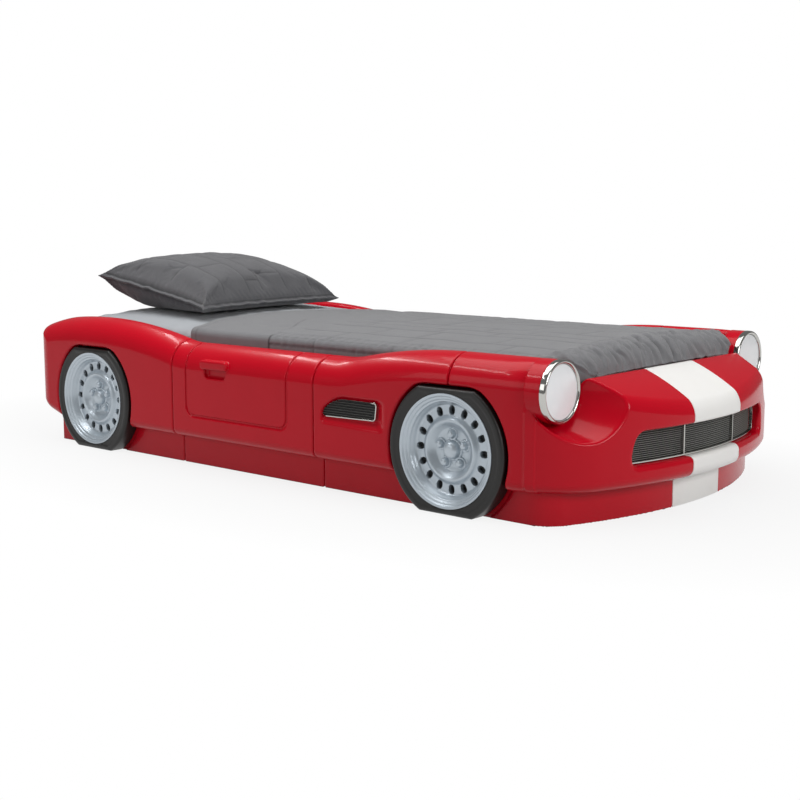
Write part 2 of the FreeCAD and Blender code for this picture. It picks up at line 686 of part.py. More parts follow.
def front_stripe_space(inset, low, high):
    """Shallow space of the white band on an upright front that follows the nose's arc at this inset."""
    half = STRIPE_HALF_WIDTH
    space = box(WELL_FRONT_X, NOSE_X + OVERLAP - inset, -half, half, low, high)
    return space.cut(front_cylinder(inset + STRIPE_THICKNESS, 0, TALL))


def tail():
    """Tail between the rear fenders, with a deck behind the mattress and the rear skirt."""
    rear_x = REAR_X
    half = WELL_HALF - SEAM_GAP
    outline = rounded_wire(
        [
            (WELL_REAR_X, SKIRT_HEIGHT, 0),
            (WELL_REAR_X, TAIL_DECK, INNER_ROLL),
            (rear_x, TAIL_DECK, TAIL_TOP_RADIUS),
            (rear_x, SKIRT_HEIGHT + TAIL_LOWER_RISE, LOWER_BEVEL),
            (rear_x + TAIL_RISE_LENGTH, SKIRT_HEIGHT, 0),
        ],
        in_side_view(-half),
    )
    upper = prism(outline, V(0, -2 * half, 0))
    skirt = box(rear_x + SKIRT_REAR_INSET, WELL_REAR_X, -half, half, 0, SKIRT_HEIGHT)
    return upper.fuse(skirt).removeSplitter()


# ---------------------------------------------------------------- wheels
def tyre(centre_x):
    """Moulded tyre: flat at floor and top, with a blind seat for the wheel's rim."""
    depth = SKIRT_INSET + TYRE_PROUD
    body = prism(flat_ended_circle(centre_x, TYRE_RADIUS, 0, TYRE_TOP, SKIRT_HALF), V(0, -depth, 0))
    face_y = -(BODY_HALF + TYRE_PROUD)
    seat = Part.makeCylinder(RIM_RADIUS + RIM_SLACK, RIM_DEPTH, V(centre_x, face_y + RIM_DEPTH, WHEEL_Z), V(0, -1, 0))
    return body.cut(seat)


def rim(centre_x):
    """Pressed-steel style rim: lip, dish with oval holes, raised ring, bowl, hub and nuts."""
    face_y = -(BODY_HALF + TYRE_PROUD)

    def place(radius, depth):
        return V(centre_x + radius, face_y + depth, WHEEL_Z)

    wall = RIM_RADIUS - RIM_SHOULDER
    plate_depth = RIM_DISH + RIM_PLATE_DROP
    points = [
        place(0, RIM_DEPTH),
        place(RIM_RADIUS, RIM_DEPTH),
        place(RIM_RADIUS, 0),
        place(RIM_RADIUS - RIM_LIP, 0),
        place(wall, RIM_DISH),
        place(BOWL_RADIUS, RIM_DISH),
        place(BOWL_RADIUS - BOWL_RING_HEIGHT, RIM_DISH - BOWL_RING_HEIGHT),
        place(BOWL_FLOOR_RADIUS, plate_depth),
        place(HUB_RADIUS, plate_depth),
        place(HUB_RADIUS, plate_depth - HUB_HEIGHT),
        place(0, plate_depth - HUB_HEIGHT),
        place(0, RIM_DEPTH),
    ]
    axis_point = V(centre_x, face_y, WHEEL_Z)
    body = turned(Part.makePolygon(points), axis_point, V(0, 1, 0))
    first_hole = oval_hole(centre_x, face_y)
    holes = []
    for i in range(RIM_HOLE_COUNT):
        hole = first_hole.copy()
        hole.rotate(axis_point, V(0, 1, 0), 360.0 * i / RIM_HOLE_COUNT)
        holes.append(hole)
    body = body.cut(Part.makeCompound(holes))
    first_nut = nut(centre_x, face_y + plate_depth)
    nuts = []
    for i in range(NUT_COUNT):
        one = first_nut.copy()
        one.rotate(axis_point, V(0, 1, 0), 360.0 * (i + NUT_START) / NUT_COUNT)
        nuts.append(one)
    return body.fuse(nuts)


def oval_hole(centre_x, face_y):
    """One vent hole of the rim, longer along the wheel's radius."""
    ring = []
    for i in range(RIM_HOLE_SIDES):
        turn = 2 * pi * (i + 0.5) / RIM_HOLE_SIDES
        x = centre_x + RIM_HOLE_SHORT / 2 * cos(turn)
        z = WHEEL_Z + RIM_HOLE_CIRCLE + RIM_HOLE_LONG / 2 * sin(turn)
        ring.append(V(x, face_y, z))
    return prism(Part.makePolygon(ring + ring[:1]), V(0, RIM_DISH + RIM_HOLE_DEPTH, 0))


def nut(centre_x, seat_y):
    """One six-sided wheel nut that stands on the rim's centre plate."""
    ring = []
    for i in range(6):
        turn = radians(60 * i)
        reach = NUT_ACROSS / sqrt(3)
        x = centre_x + reach * cos(turn)
        ring.append(V(x, seat_y + OVERLAP, WHEEL_Z + NUT_CIRCLE + reach * sin(turn)))
    return prism(Part.makePolygon(ring + ring[:1]), V(0, -NUT_HEIGHT - OVERLAP, 0))


# ---------------------------------------------------------------- headlamps
def lamp_profile(points):
    """Closed profile of a turned lamp part from (x, radius) points."""
    ring = [V(x, -LAMP_Y, LAMP_Z + radius) for x, radius in points]
    return turned(Part.makePolygon(ring + ring[:1]), V(0, -LAMP_Y, LAMP_Z), V(1, 0, 0))


def lamp_bezel():
    """Bright ring round the lens, seated on the tube's end, with a lip that keeps the lens in."""
    front = TUBE_FRONT_X + BEZEL_LENGTH
    inner = FENDER_ROLL - BEZEL_WALL
    return lamp_profile(
        [
            (TUBE_FRONT_X, inner),
            (TUBE_FRONT_X, FENDER_ROLL),
            (front, FENDER_ROLL),
            (front, inner - BEZEL_LIP),
            (front - BEZEL_LIP_LENGTH, inner - BEZEL_LIP),
            (front - BEZEL_LIP_LENGTH, inner),
        ]
    )


def lamp_housing():
    """Cup in the tube's bore that carries the lamp board."""
    rear = TUBE_FRONT_X - HOUSING_DEPTH
    outer = FENDER_ROLL - BEZEL_WALL - RIM_SLACK
    return lamp_profile(
        [
            (rear, 0),
            (rear, outer),
            (TUBE_FRONT_X, outer),
            (TUBE_FRONT_X, outer - HOUSING_WALL),
            (rear + HOUSING_WALL, outer - HOUSING_WALL),
            (rear + HOUSING_WALL, 0),
        ]
    )


def eight_sided(across, start_x, length):
    """Eight-sided block on the lamp's axis."""
    reach = across / 2 / cos(pi / 8)
    bearings = [pi / 8 + pi / 4 * i for i in range(8)]
    ring = [V(start_x, -LAMP_Y + reach * cos(b), LAMP_Z + reach * sin(b)) for b in bearings]
    return prism(Part.makePolygon(ring + ring[:1]), V(length, 0, 0))


def lamp_board():
    """Eight-sided board with the lamps, on the housing's floor, and the switch in its middle."""
    rear = TUBE_FRONT_X - HOUSING_DEPTH + HOUSING_WALL
    board = eight_sided(BOARD_ACROSS, rear, BOARD_THICKNESS)
    return board.fuse(eight_sided(SWITCH_ACROSS, rear, BOARD_THICKNESS + SWITCH_HEIGHT))


def lamp_lens():
    """Frosted lens that is pressed in to switch the lamp: a disc with a stem behind it."""
    back = TUBE_FRONT_X + BEZEL_LENGTH - BEZEL_LIP_LENGTH - LENS_SLACK - LENS_THICKNESS
    radius = FENDER_ROLL - BEZEL_WALL - LENS_SLACK
    switch_top = TUBE_FRONT_X - HOUSING_DEPTH + HOUSING_WALL + BOARD_THICKNESS + SWITCH_HEIGHT
    stem_start = switch_top + LENS_TRAVEL + LENS_SLACK / 2
    disc = Part.makeCylinder(radius, LENS_THICKNESS, V(back, -LAMP_Y, LAMP_Z), V(1, 0, 0))
    return disc.fuse(eight_sided(STEM_ACROSS, stem_start, back - stem_start))


# ---------------------------------------------------------------- grille
def arc_band(inset, depth, low, high, half_width):
    """Upright band of straight spans that follows the front's arc, this far inside it."""
    reach = asin(half_width / (NOSE_ARC_RADIUS - GRILLE_RECESS))
    bearings = [reach * (2 * i / GRILLE_SPAN_COUNT - 1) for i in range(GRILLE_SPAN_COUNT + 1)]
    spread = 1 / cos(reach / GRILLE_SPAN_COUNT)
    outer = (NOSE_ARC_RADIUS - inset) * spread
    inner = (NOSE_ARC_RADIUS - inset - depth) * spread
    ring = [V(NOSE_ARC_CENTRE_X + outer * cos(b), outer * sin(b), low) for b in bearings]
    ring += [V(NOSE_ARC_CENTRE_X + inner * cos(b), inner * sin(b), low) for b in reversed(bearings)]
    return prism(Part.makePolygon(ring + ring[:1]), V(0, 0, high - low))


def grille_back():
    """Black plate behind the bars, seated on the floor of the opening."""
    low = GRILLE_LOW + GRILLE_TRIM
    high = GRILLE_HIGH - GRILLE_TRIM
    inset = GRILLE_RECESS - GRILLE_BACK_THICKNESS
    return arc_band(inset, GRILLE_BACK_THICKNESS, low, high, GRILLE_INSERT_HALF_WIDTH)


def grille_bars():
    """Level bars in front of the plate, evenly spaced between the trims."""
    low = GRILLE_LOW + GRILLE_TRIM
    pitch = (GRILLE_HIGH - GRILLE_TRIM - low) / (GRILLE_BAR_COUNT + 1)
    inset = GRILLE_RECESS - GRILLE_BACK_THICKNESS - GRILLE_BAR_DEPTH
    bars = []
    for i in range(GRILLE_BAR_COUNT):
        z = low + pitch * (i + 1) - GRILLE_BAR_HEIGHT / 2
        bars.append(arc_band(inset, GRILLE_BAR_DEPTH, z, z + GRILLE_BAR_HEIGHT, GRILLE_INSERT_HALF_WIDTH))
    return Part.makeCompound(bars)


def grille_trim():
    """Bright frame of the grille: two rails, two ends and the two dividers in line with the stripe."""
    inset = GRILLE_RECESS - GRILLE_BACK_THICKNESS - GRILLE_BAR_DEPTH - GRILLE_TRIM_PROUD
    depth = GRILLE_RECESS - inset
    half = GRILLE_INSERT_HALF_WIDTH
    rails = [
        arc_band(inset, depth, GRILLE_LOW, GRILLE_LOW + GRILLE_TRIM, half),
        arc_band(inset, depth, GRILLE_HIGH - GRILLE_TRIM, GRILLE_HIGH, half),
    ]
    gap = GRILLE_BACK_THICKNESS + GRILLE_BAR_DEPTH + GRILLE_POST_GAP
    posts = []
    for y in (-half, -STRIPE_HALF_WIDTH, STRIPE_HALF_WIDTH, half):
        bearing = asin(y / NOSE_ARC_RADIUS)
        outer = NOSE_ARC_RADIUS - inset
        post = box(outer - depth + gap, outer, -DIVIDER_WIDTH / 2, DIVIDER_WIDTH / 2, GRILLE_LOW, GRILLE_HIGH)
        post.rotate(V(0, 0, 0), V(0, 0, 1), bearing * 180 / pi)
        post.translate(V(NOSE_ARC_CENTRE_X, 0, 0))
        posts.append(post)
    return rails[0].fuse([rails[1]] + posts)


# ---------------------------------------------------------------- deck and fastenings
def ledge():
    """Rail along the inner wall that the slats rest on."""
    top = MATTRESS_BASE - DECK_THICKNESS
    return box(
        WELL_REAR_X + LEDGE_END_GAP,
        WELL_FRONT_X - LEDGE_END_GAP,
        -WELL_HALF,
        -WELL_HALF + LEDGE_WIDTH,
        top - LEDGE_HEIGHT,
        top,
    )


def slats():
    """Level boards across the well, evenly spaced from head to foot."""
    half = WELL_HALF - SLAT_END_GAP
    first = WELL_REAR_X + LEDGE_END_GAP
    pitch = (WELL_FRONT_X - LEDGE_END_GAP - SLAT_WIDTH - first) / (SLAT_COUNT - 1)
    boards = []
    for i in range(SLAT_COUNT):
        x = first + pitch * i
        boards.append(box(x, x + SLAT_WIDTH, -half, half, MATTRESS_BASE - DECK_THICKNESS, MATTRESS_BASE))
    return Part.makeCompound(boards)


def centre_beam():
    top = MATTRESS_BASE - DECK_THICKNESS
    half = BEAM_WIDTH / 2
    return box(WELL_REAR_X + LEDGE_END_GAP, WELL_FRONT_X - LEDGE_END_GAP, -half, half, top - BEAM_HEIGHT, top)


def centre_legs():
    top = MATTRESS_BASE - DECK_THICKNESS - BEAM_HEIGHT
    first = WELL_REAR_X + LEDGE_END_GAP
    pitch = (WELL_FRONT_X - LEDGE_END_GAP - LEG_SIZE - first) / (LEG_COUNT - 1)
    half = LEG_SIZE / 2
    return Part.makeCompound([box(first + pitch * i, first + pitch * i + LEG_SIZE, -half, half, 0, top)
                              for i in range(LEG_COUNT)])


def seam_places():
    return (REAR_SEAM_X, FRONT_SEAM_X, NOSE_SEAM_X)


def joining_plates():
    """Steel plates across the seams, flat on the inner walls below the deck."""
    plates = []
    for x in seam_places():
        plates.append(
            box(x - PLATE_LENGTH / 2, x + PLATE_LENGTH / 2, -WELL_HALF, -WELL_HALF + PLATE_THICKNESS,
                PLATE_Z, PLATE_Z + PLATE_HEIGHT)
        )
    return both_sides(Part.makeCompound(plates))


def corner_brackets():
    """Steel angles that hold the tail between the rear fenders."""
    far = WELL_REAR_X + PLATE_LENGTH / 2
    inner = -WELL_HALF + PLATE_THICKNESS
    along = box(WELL_REAR_X, far, -WELL_HALF, inner, PLATE_Z, PLATE_Z + PLATE_HEIGHT)
    across = box(WELL_REAR_X, WELL_REAR_X + PLATE_THICKNESS, -WELL_HALF, -WELL_HALF + PLATE_LENGTH / 2,
                 PLATE_Z, PLATE_Z + PLATE_HEIGHT)
    return both_sides(along.fuse(across).removeSplitter())


def bolt_head(x, y, z, outward):
    """Six-sided head that stands on its plate, along the given direction."""
    ring = []
    across = V(-outward.y, outward.x, 0)
    for i in range(6):
        turn = radians(60 * i)
        reach = BOLT_ACROSS / sqrt(3)
        ring.append(V(x, y, z) + across * (reach * cos(turn)) + V(0, 0, reach * sin(turn)))
    return prism(Part.makePolygon(ring + ring[:1]), outward * BOLT_HEAD)


def plate_bolts():
    heads = []
    z = PLATE_Z + PLATE_HEIGHT / 2
    y = -WELL_HALF + PLATE_THICKNESS
    for x in seam_places():
        for shift in (-BOLT_SPREAD / 2, BOLT_SPREAD / 2):
            heads.append(bolt_head(x + shift, y, z, V(0, 1, 0)))
    heads.append(bolt_head(WELL_REAR_X + BOLT_SPREAD / 2, y, z, V(0, 1, 0)))
    heads.append(bolt_head(WELL_REAR_X + PLATE_THICKNESS, -WELL_HALF + BOLT_SPREAD / 2, z, V(1, 0, 0)))
    return both_sides(Part.makeCompound(heads))


# ---------------------------------------------------------------- bedding
def bed_section(station, gathers):
    """Outline across the bedding: flat foot, upright sides, rolled edges and a crowned top.

    The top is made of as many arcs as there are gathers, and each stands proud by the station's pleat.
    """
    x, half, low, high, crown, edge, pleat = station
    flat = half - edge
    turn = edge * (1 - sin(pi / 4))
    points = []
    for i in range(2 * gathers + 1):
        y = flat * (1 - i / gathers)
        proud = pleat if i % 2 else 0
        points.append(V(x, y, high + crown * (1 - (y / flat) ** 2) + proud + CROWN_LIFT))
    parts = [
        Part.makeLine(V(x, -half, low), V(x, half, low)),
        Part.makeLine(V(x, half, low), V(x, half, high - edge)),
        Part.Arc(V(x, half, high - edge), V(x, half - turn, high - turn), points[0]).toShape(),
    ]
    for i in range(gathers):
        parts.append(Part.Arc(points[2 * i], points[2 * i + 1], points[2 * i + 2]).toShape())
    parts.append(Part.Arc(points[-1], V(x, turn - half, high - turn), V(x, -half, high - edge)).toShape())
    parts.append(Part.makeLine(V(x, -half, high - edge), V(x, -half, low)))
    return Part.Wire(parts)


def bedding_loft(stations, gathers=1):
    """Loft of bedding sections through (x, half width, low, top at the edge, crown, edge, pleat) stations."""
    return Part.makeLoft([bed_section(station, gathers) for station in stations], True, True)


def mattress_stations(grow, low):
    """Stations of the mattress, grown by a gap and cloth: full in the middle, drawn in at both ends."""
    half = MATTRESS_WIDTH / 2 + grow
    top = MATTRESS_BASE + MATTRESS_THICKNESS - MATTRESS_CROWN + grow
    edge = MATTRESS_EDGE
    head = MATTRESS_HEAD_X - grow
    foot = MATTRESS_FOOT_X + grow
    return [
        (head, half - edge / 2, low, top + HEAD_PUFF - edge, MATTRESS_CROWN, edge / 2, 0),
        (head + edge, half, low, top + HEAD_PUFF, MATTRESS_CROWN, edge, 0),
        (head + MATTRESS_LENGTH / 3, half, low, top, MATTRESS_CROWN, edge, 0),
        (foot - edge, half, low, top, MATTRESS_CROWN, edge, 0),
        (foot, half - edge / 2, low, top - edge, MATTRESS_CROWN, edge / 2, 0),
    ]


def mattress():
    return bedding_loft(mattress_stations(0, MATTRESS_BASE))


def fitted_sheet():
    """Thin cover drawn over the mattress, open below it."""
    outer = bedding_loft(mattress_stations(CLOTH_GAP + SHEET_THICKNESS, MATTRESS_BASE))
    return outer.cut(bedding_loft(mattress_stations(CLOTH_GAP, MATTRESS_BASE - OVERLAP)))


def quilt():
    """Quilt over the foot two thirds of the bed, tucked in at the sides and gathered behind the hood."""
    half = WELL_HALF - QUILT_CLEARANCE
    under = SHEET_THICKNESS + 2 * CLOTH_GAP
    top = MATTRESS_BASE + MATTRESS_THICKNESS - MATTRESS_CROWN + under + QUILT_THICKNESS
    low = top - QUILT_SIDE_DROP
    edge = MATTRESS_EDGE
    crown = MATTRESS_CROWN
    foot = MATTRESS_FOOT_X
    end_x = foot + QUILT_FOOT_REACH
    brim_x = WELL_FRONT_X - QUILT_CLEARANCE
    rest = HOOD_REAR_TOP - HOOD_REAR_SETBACK - WELL_FRONT_X + 2 * QUILT_CLEARANCE
    narrow = LAMP_Y - FENDER_ROLL - 2 * QUILT_CLEARANCE
    stations = [
        (QUILT_HEAD_X, half, low, top, crown, edge, 0),
        (foot - 4 * edge, half, low, top, crown, edge, 1),
        (foot - edge, half, low, top - 2, crown, edge, QUILT_PLEAT / 2),
        (foot + under + 1, half - edge / 3, low, top - edge / 3, crown, edge / 2, QUILT_PLEAT),
        (brim_x, narrow, brim_x + rest, top - edge, crown, edge / 2, QUILT_PLEAT),
        (end_x, narrow - edge / 2, end_x + rest, HOOD_REAR_TOP + 3, 4, 4, QUILT_PLEAT / 3),
    ]
    outer = bedding_loft(stations, QUILT_GATHER_COUNT)
    return outer.cut(bedding_loft(mattress_stations(under, low - OVERLAP)))


def lens_profile(length, height, flat, place):
    """Closed outline of a crowned form: level in the middle over `flat`, falling in arcs to both ends."""
    half = length / 2
    level = flat / 2
    reach = half - level
    radius = (reach ** 2 + height ** 2) / (2 * height)
    sweep = asin(reach / radius)
    side_u = level + radius * sin(sweep / 2)
    side_v = height - radius * (1 - cos(sweep / 2))
    edges = []
    for sign in (1, -1):
        top = Part.Arc(place(-half, 0), place(-side_u, sign * side_v), place(-level, sign * height))
        end = Part.Arc(place(level, sign * height), place(side_u, sign * side_v), place(half, 0))
        run = [top.toShape()]
        if flat > 0:
            run.append(Part.makeLine(place(-level, sign * height), place(level, sign * height)))
        run.append(end.toShape())
        edges += run if sign > 0 else run[::-1]
    return Part.Wire(edges)


def pillow_plan(margin, half_height):
    """Upright block on the pillow's plan: four corners and sides that are drawn in between them."""
    half_width = PILLOW_WIDTH / 2 - margin
    half_length = PILLOW_LENGTH / 2 - margin
    corners = [
        (-half_width, -half_length),
        (half_width, -half_length),
        (half_width, half_length),
        (-half_width, half_length),
    ]
    edges = []
    for (x0, y0), (x1, y1) in zip(corners, corners[1:] + corners[:1]):
        middle = V((x0 + x1) / 2 * PILLOW_WAIST, (y0 + y1) / 2 * PILLOW_WAIST, -half_height)
        edges.append(Part.Arc(V(x0, y0, -half_height), middle, V(x1, y1, -half_height)).toShape())
    return prism(Part.Wire(edges), V(0, 0, 2 * half_height))


def pillow():
    """Plump pillow with a narrow flange, lying across the head end and tipped up towards it."""
    height = PILLOW_THICKNESS / 2
    wide = PILLOW_WIDTH - PILLOW_FLANGE
    long = PILLOW_LENGTH - PILLOW_FLANGE
    across = prism(
        lens_profile(wide, height, wide * PILLOW_LEVEL, lambda u, v: V(u, -long, v)), V(0, 2 * long, 0)
    )
    along = prism(
        lens_profile(long, height, long * PILLOW_LEVEL, lambda u, v: V(-wide, u, v)), V(2 * wide, 0, 0)
    )
    plan = pillow_plan(PILLOW_FLANGE, PILLOW_THICKNESS)
    body = across.common(plan).common(along.common(plan))
    body = body.fuse(pillow_plan(0, PILLOW_FLANGE_THICKNESS / 2))
    body.rotate(V(0, 0, 0), V(0, 1, 0), PILLOW_TILT)
    body.rotate(V(0, 0, 0), V(0, 0, 1), PILLOW_TURN)
    body.translate(V(PILLOW_X, PILLOW_Y, PILLOW_Z))
    rest = MATTRESS_BASE + MATTRESS_THICKNESS + HEAD_PUFF + SHEET_THICKNESS + 2 * CLOTH_GAP
    return body.common(box(-2 * WIDE, 2 * WIDE, -WIDE, WIDE, rest, 2 * TALL))


def main():
    os.makedirs("parts", exist_ok=True)
    side = side_body()
    moulding = nose(side)
    stripe_spaces = {
        "stripe_hood": hood_stripe_space(),
        "stripe_lip": front_stripe_space(0, SKIRT_HEIGHT + LOWER_BEVEL, GRILLE_LOW),
        "stripe_skirt": front_stripe_space(SKIRT_FRONT_INSET, 0, SKIRT_HEIGHT),
    }
    for name, space in stripe_spaces.items():
        export(name, moulding.common(space))
        moulding = moulding.cut(space)
    export("nose_panel", moulding)
    for name, shape in (
        ("front_fender", front_fender(side)),
        ("door", door(side)),
        ("rear_fender", rear_fender(side)),
        ("vent_insert", vent_insert()),
        ("vent_trim", vent_trim()),
    ):
        export(name + "_right", shape)
        export(name + "_left", mirrored(shape))
    export("tail_panel", tail())
    wheels = [FRONT_WHEEL_X, REAR_WHEEL_X]
    export("tyres", both_sides(Part.makeCompound([tyre(x) for x in wheels])))
    export("wheel_rims", both_sides(Part.makeCompound([rim(x) for x in wheels])))
    export("lamp_bezels", both_sides(lamp_bezel()))
    export("lamp_housings", both_sides(lamp_housing()))
    export("lamp_boards", both_sides(lamp_board()))
    export("lamp_lens_right", lamp_lens())
    export("lamp_lens_left", mirrored(lamp_lens()))
    export("grille_back", grille_back())
    export("grille_bars", grille_bars())
    export("grille_trim", grille_trim())
    export("ledge_right", ledge())
    export("ledge_left", mirrored(ledge()))
    export("slats", slats())
    export("centre_beam", centre_beam())
    export("centre_legs", centre_legs())
    export("joining_plates", joining_plates())
    export("corner_brackets", corner_brackets())
    export("plate_bolts", plate_bolts())
    export("mattress", mattress())
    export("fitted_sheet", fitted_sheet())
    export("quilt", quilt())
    export("pillow", pillow())


main()
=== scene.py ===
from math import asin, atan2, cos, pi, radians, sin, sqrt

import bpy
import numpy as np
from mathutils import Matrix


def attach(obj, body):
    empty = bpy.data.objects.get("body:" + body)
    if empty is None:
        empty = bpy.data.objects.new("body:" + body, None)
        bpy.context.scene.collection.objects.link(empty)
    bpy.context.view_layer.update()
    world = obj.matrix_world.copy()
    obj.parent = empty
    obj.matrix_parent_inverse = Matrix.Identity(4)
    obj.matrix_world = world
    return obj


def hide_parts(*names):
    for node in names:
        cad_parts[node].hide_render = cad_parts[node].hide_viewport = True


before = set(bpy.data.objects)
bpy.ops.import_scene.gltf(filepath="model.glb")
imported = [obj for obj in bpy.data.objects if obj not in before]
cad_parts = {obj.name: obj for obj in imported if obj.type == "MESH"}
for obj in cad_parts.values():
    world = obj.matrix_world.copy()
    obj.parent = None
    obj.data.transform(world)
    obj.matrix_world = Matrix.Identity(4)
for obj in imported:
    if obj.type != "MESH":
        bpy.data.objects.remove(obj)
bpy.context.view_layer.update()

# %% [markdown]
# # A roadster bed for children
# The bed is a ring of glossy moulded panels round a twin mattress. Large glossy surfaces show every
# wobble in their reflections, so the panels are not dressed CAD meshes: they are worked out again
# as dense smooth surfaces from the same few sizes, and the CAD nodes stay for motion and checks.

MM = 0.001

WELL_HALF = 492.0          # inner wall of the side panels
BODY_HALF = 596.0          # outer side
SKIRT_HALF = 551.0
SKIRT_TOP = 88.0
FENDER_ROLL = 82.0
INNER_ROLL = 20.0
LOWER_ROLL = 28.0
REAR_X = -1157.0
WELL_REAR_X = -1010.0
REAR_SEAM_X = -418.0
FRONT_SEAM_X = 198.0
NOSE_SEAM_X = 685.0
WELL_FRONT_X = 925.0
NOSE_X = 1157.0
DOOR_TOP = 381.0
DOOR_RISE_X = 265.0
FRONT_CREST = 425.0
FRONT_SWEEP = 350.0
REAR_CREST = 435.0
REAR_CREST_X = -840.0
REAR_CREST_RADIUS = 1900.0
REAR_SWEEP = 290.0
FRONT_WHEEL_X = 680.0
REAR_WHEEL_X = -828.0
WHEEL_Z = 169.0
TYRE_RADIUS = 190.0
TYRE_TOP = 335.0
FACE = 602.0               # outer face of tyres and rims
LAMP_Y = BODY_HALF - FENDER_ROLL
LAMP_Z = FRONT_CREST - FENDER_ROLL
TUBE_FRONT_X = 955.0
RED_TUBE_X = 973.0         # the red tube reaches on over the rear of the bezel
NOSE_ARC_RADIUS = 1240.0
NOSE_ARC_X = NOSE_X - NOSE_ARC_RADIUS
STRIPE_HALF = 130.0
TAIL_TOP = 396.0
HANDLE_X = -218.0          # middle of the door handle and its pocket
GRILLE_Z = 190.5           # middle of the grille; the next two are half its insert's size
GRILLE_HALF_Z = 42.5
GRILLE_HALF_Y = 350.0
VENT_LOW_Z = 219.0
SLAT_PITCH = 7.2

# %% [markdown]
# ## Materials
# Every finish is a Principled shader with a little of the real surface in it. One helper adds a
# node with its settings and its links, one turns a sRGB hex colour to the linear value Blender wants.


# %% The material helpers
def linear(hex_colour):
    """sRGB hex to linear RGBA: c / 12.92 below 0.04045, else ((c + 0.055) / 1.055) to the power 2.4."""
    srgb = np.array([int(hex_colour[i:i + 2], 16) / 255 for i in (1, 3, 5)])
    return (*np.where(srgb <= 0.04045, srgb / 12.92, ((srgb + 0.055) / 1.055) ** 2.4), 1.0)


def add(owner, kind, settings=None, feeds=(), **links):
    """Adds a node, sets its fields and inputs, and links outputs to its first inputs or by name."""
    node = owner.node_tree.nodes.new(kind)
    for name, value in (settings or {}).items():
        if name in node.inputs:
            node.inputs[name].default_value = value
        else:
            setattr(node, name, value)
    named = [(name.replace("_", " "), output) for name, output in links.items()]
    for place, output in [*enumerate(feeds), *named]:
        if output is not None:
            owner.node_tree.links.new(output, node.inputs[place])
    return node


def new_material(name, **settings):
    """A material with a bare Principled shader whose sockets are set directly."""
    material = bpy.data.materials.new(name)
    material.use_nodes = True
    shader = material.node_tree.nodes["Principled BSDF"]
    for key, value in settings.items():
        shader.inputs[key.replace("_", " ")].default_value = value
    return material, shader


def noise(material, across_mm, detail=2.0, stretch=(1, 1, 1)):
    """Noise on object coordinates whose features are about this many millimetres across."""
    place = add(material, "ShaderNodeTexCoord")
    turn = add(material, "ShaderNodeMapping", {"Scale": stretch}, Vector=place.outputs["Object"])
    settings = {"Scale": 1 / (across_mm * MM), "Detail": detail}
    return add(material, "ShaderNodeTexNoise", settings, Vector=turn.outputs["Vector"]).outputs["Fac"]


def feed(material, shader, **links):
    """Links outputs to the shader's inputs."""
    for name, output in links.items():
        material.node_tree.links.new(output, shader.inputs[name.replace("_", " ")])


def bump(material, shader, height, strength, distance_mm):
    """Feeds a height to the shader's normal as a bump of this many millimetres."""
    settings = {"Strength": strength, "Distance": distance_mm * MM}
    node = add(material, "ShaderNodeBump", settings, Height=height)
    feed(material, shader, Normal=node.outputs["Normal"])


def blended(material, share, first, second, **settings):
    """Goes from the first colour, a hex or an output, to the second hex by a 0..1 output."""
    settings["Color2"] = linear(second)
    if isinstance(first, str):
        settings["Color1"], first = linear(first), None
    return add(material, "ShaderNodeMixRGB", settings, (share, first)).outputs["Color"]


def marked(material, colour, attribute, second, **settings):
    """Goes over to another hex colour where an attribute of the mesh is 1."""
    share = add(material, "ShaderNodeAttribute", {"attribute_name": attribute}).outputs["Fac"]
    return blended(material, share, colour, second, **settings)


def finish(name, colours, patches=None, grain=None, mark_as=None, **settings):
    """A finish of one or two hex colours, and what the real surface adds to them.

    patches: (mm across, detail, stretch) of the clouds between the two colours.
    grain: (mm across, detail, strength, depth in mm) of a bump. mark_as: (attribute, hex colour).
    """
    material, shader = new_material(name, Base_Color=linear(colours[0]), **settings)
    if patches:
        colour = blended(material, noise(material, *patches), *colours)
        if mark_as:
            colour = marked(material, colour, *mark_as)
        feed(material, shader, Base_Color=colour)
    if grain:
        across, detail, strength, depth = grain
        bump(material, shader, noise(material, across, detail), strength, depth)
    return material


# %% [markdown]
# ### Plastics, paint, plate, and the hidden pine and steel
# The panels are rotomoulded polyethylene with a gloss lacquer. The eye sees a deep even red, soft
# broad highlights and a very slight waviness where the hot plastic shrank in its mould. The rims
# are painted a blue-grey silver, the trims are vacuum-plated and the lenses are frosted acrylic.

# %% Hard finishes
GLOSS = {"patches": (90, 3), "grain": (70, 1, 0.12, 0.4), "IOR": 1.5, "Specular_IOR_Level": 0.12,
         "Coat_Weight": 0.16, "Coat_Roughness": 0.05}
# gloss lacquer on the panels, and on the stripe let into the nose
RED_PLASTIC = finish("lacquered_red_polyethylene", ("#C8001E", "#C0001B"), Roughness=0.27, **GLOSS)
WHITE_PLASTIC = finish("lacquered_warm_white_polyethylene", ("#FAF9F7", "#F5F3EF"), Roughness=0.3, **GLOSS)
# the tyres are hard plastic with a fine grain, not rubber
TYRE_PLASTIC = finish("moulded_black_tyre_plastic", ("#1C1B1A",), grain=(2.0, 3, 0.3, 0.15),
                      Roughness=0.42, IOR=1.46)
# grille backing and lamp housings
BLACK_PLASTIC = finish("matt_black_abs", ("#0E0E10",), grain=(1.2, 3, 0.3, 0.15), Roughness=0.45, IOR=1.46)
# grille and vent inserts: the tops of the ribs are lighter, a painted highlight
RIBBED_PLASTIC_WITH_PAINTED_HIGHLIGHT = finish("black_abs_with_painted_rib_highlights", ("#141413", "#1C1C1A"), (12, 3),
                        mark_as=("rib", "#B0B0AA"), Roughness=0.35, IOR=1.46)
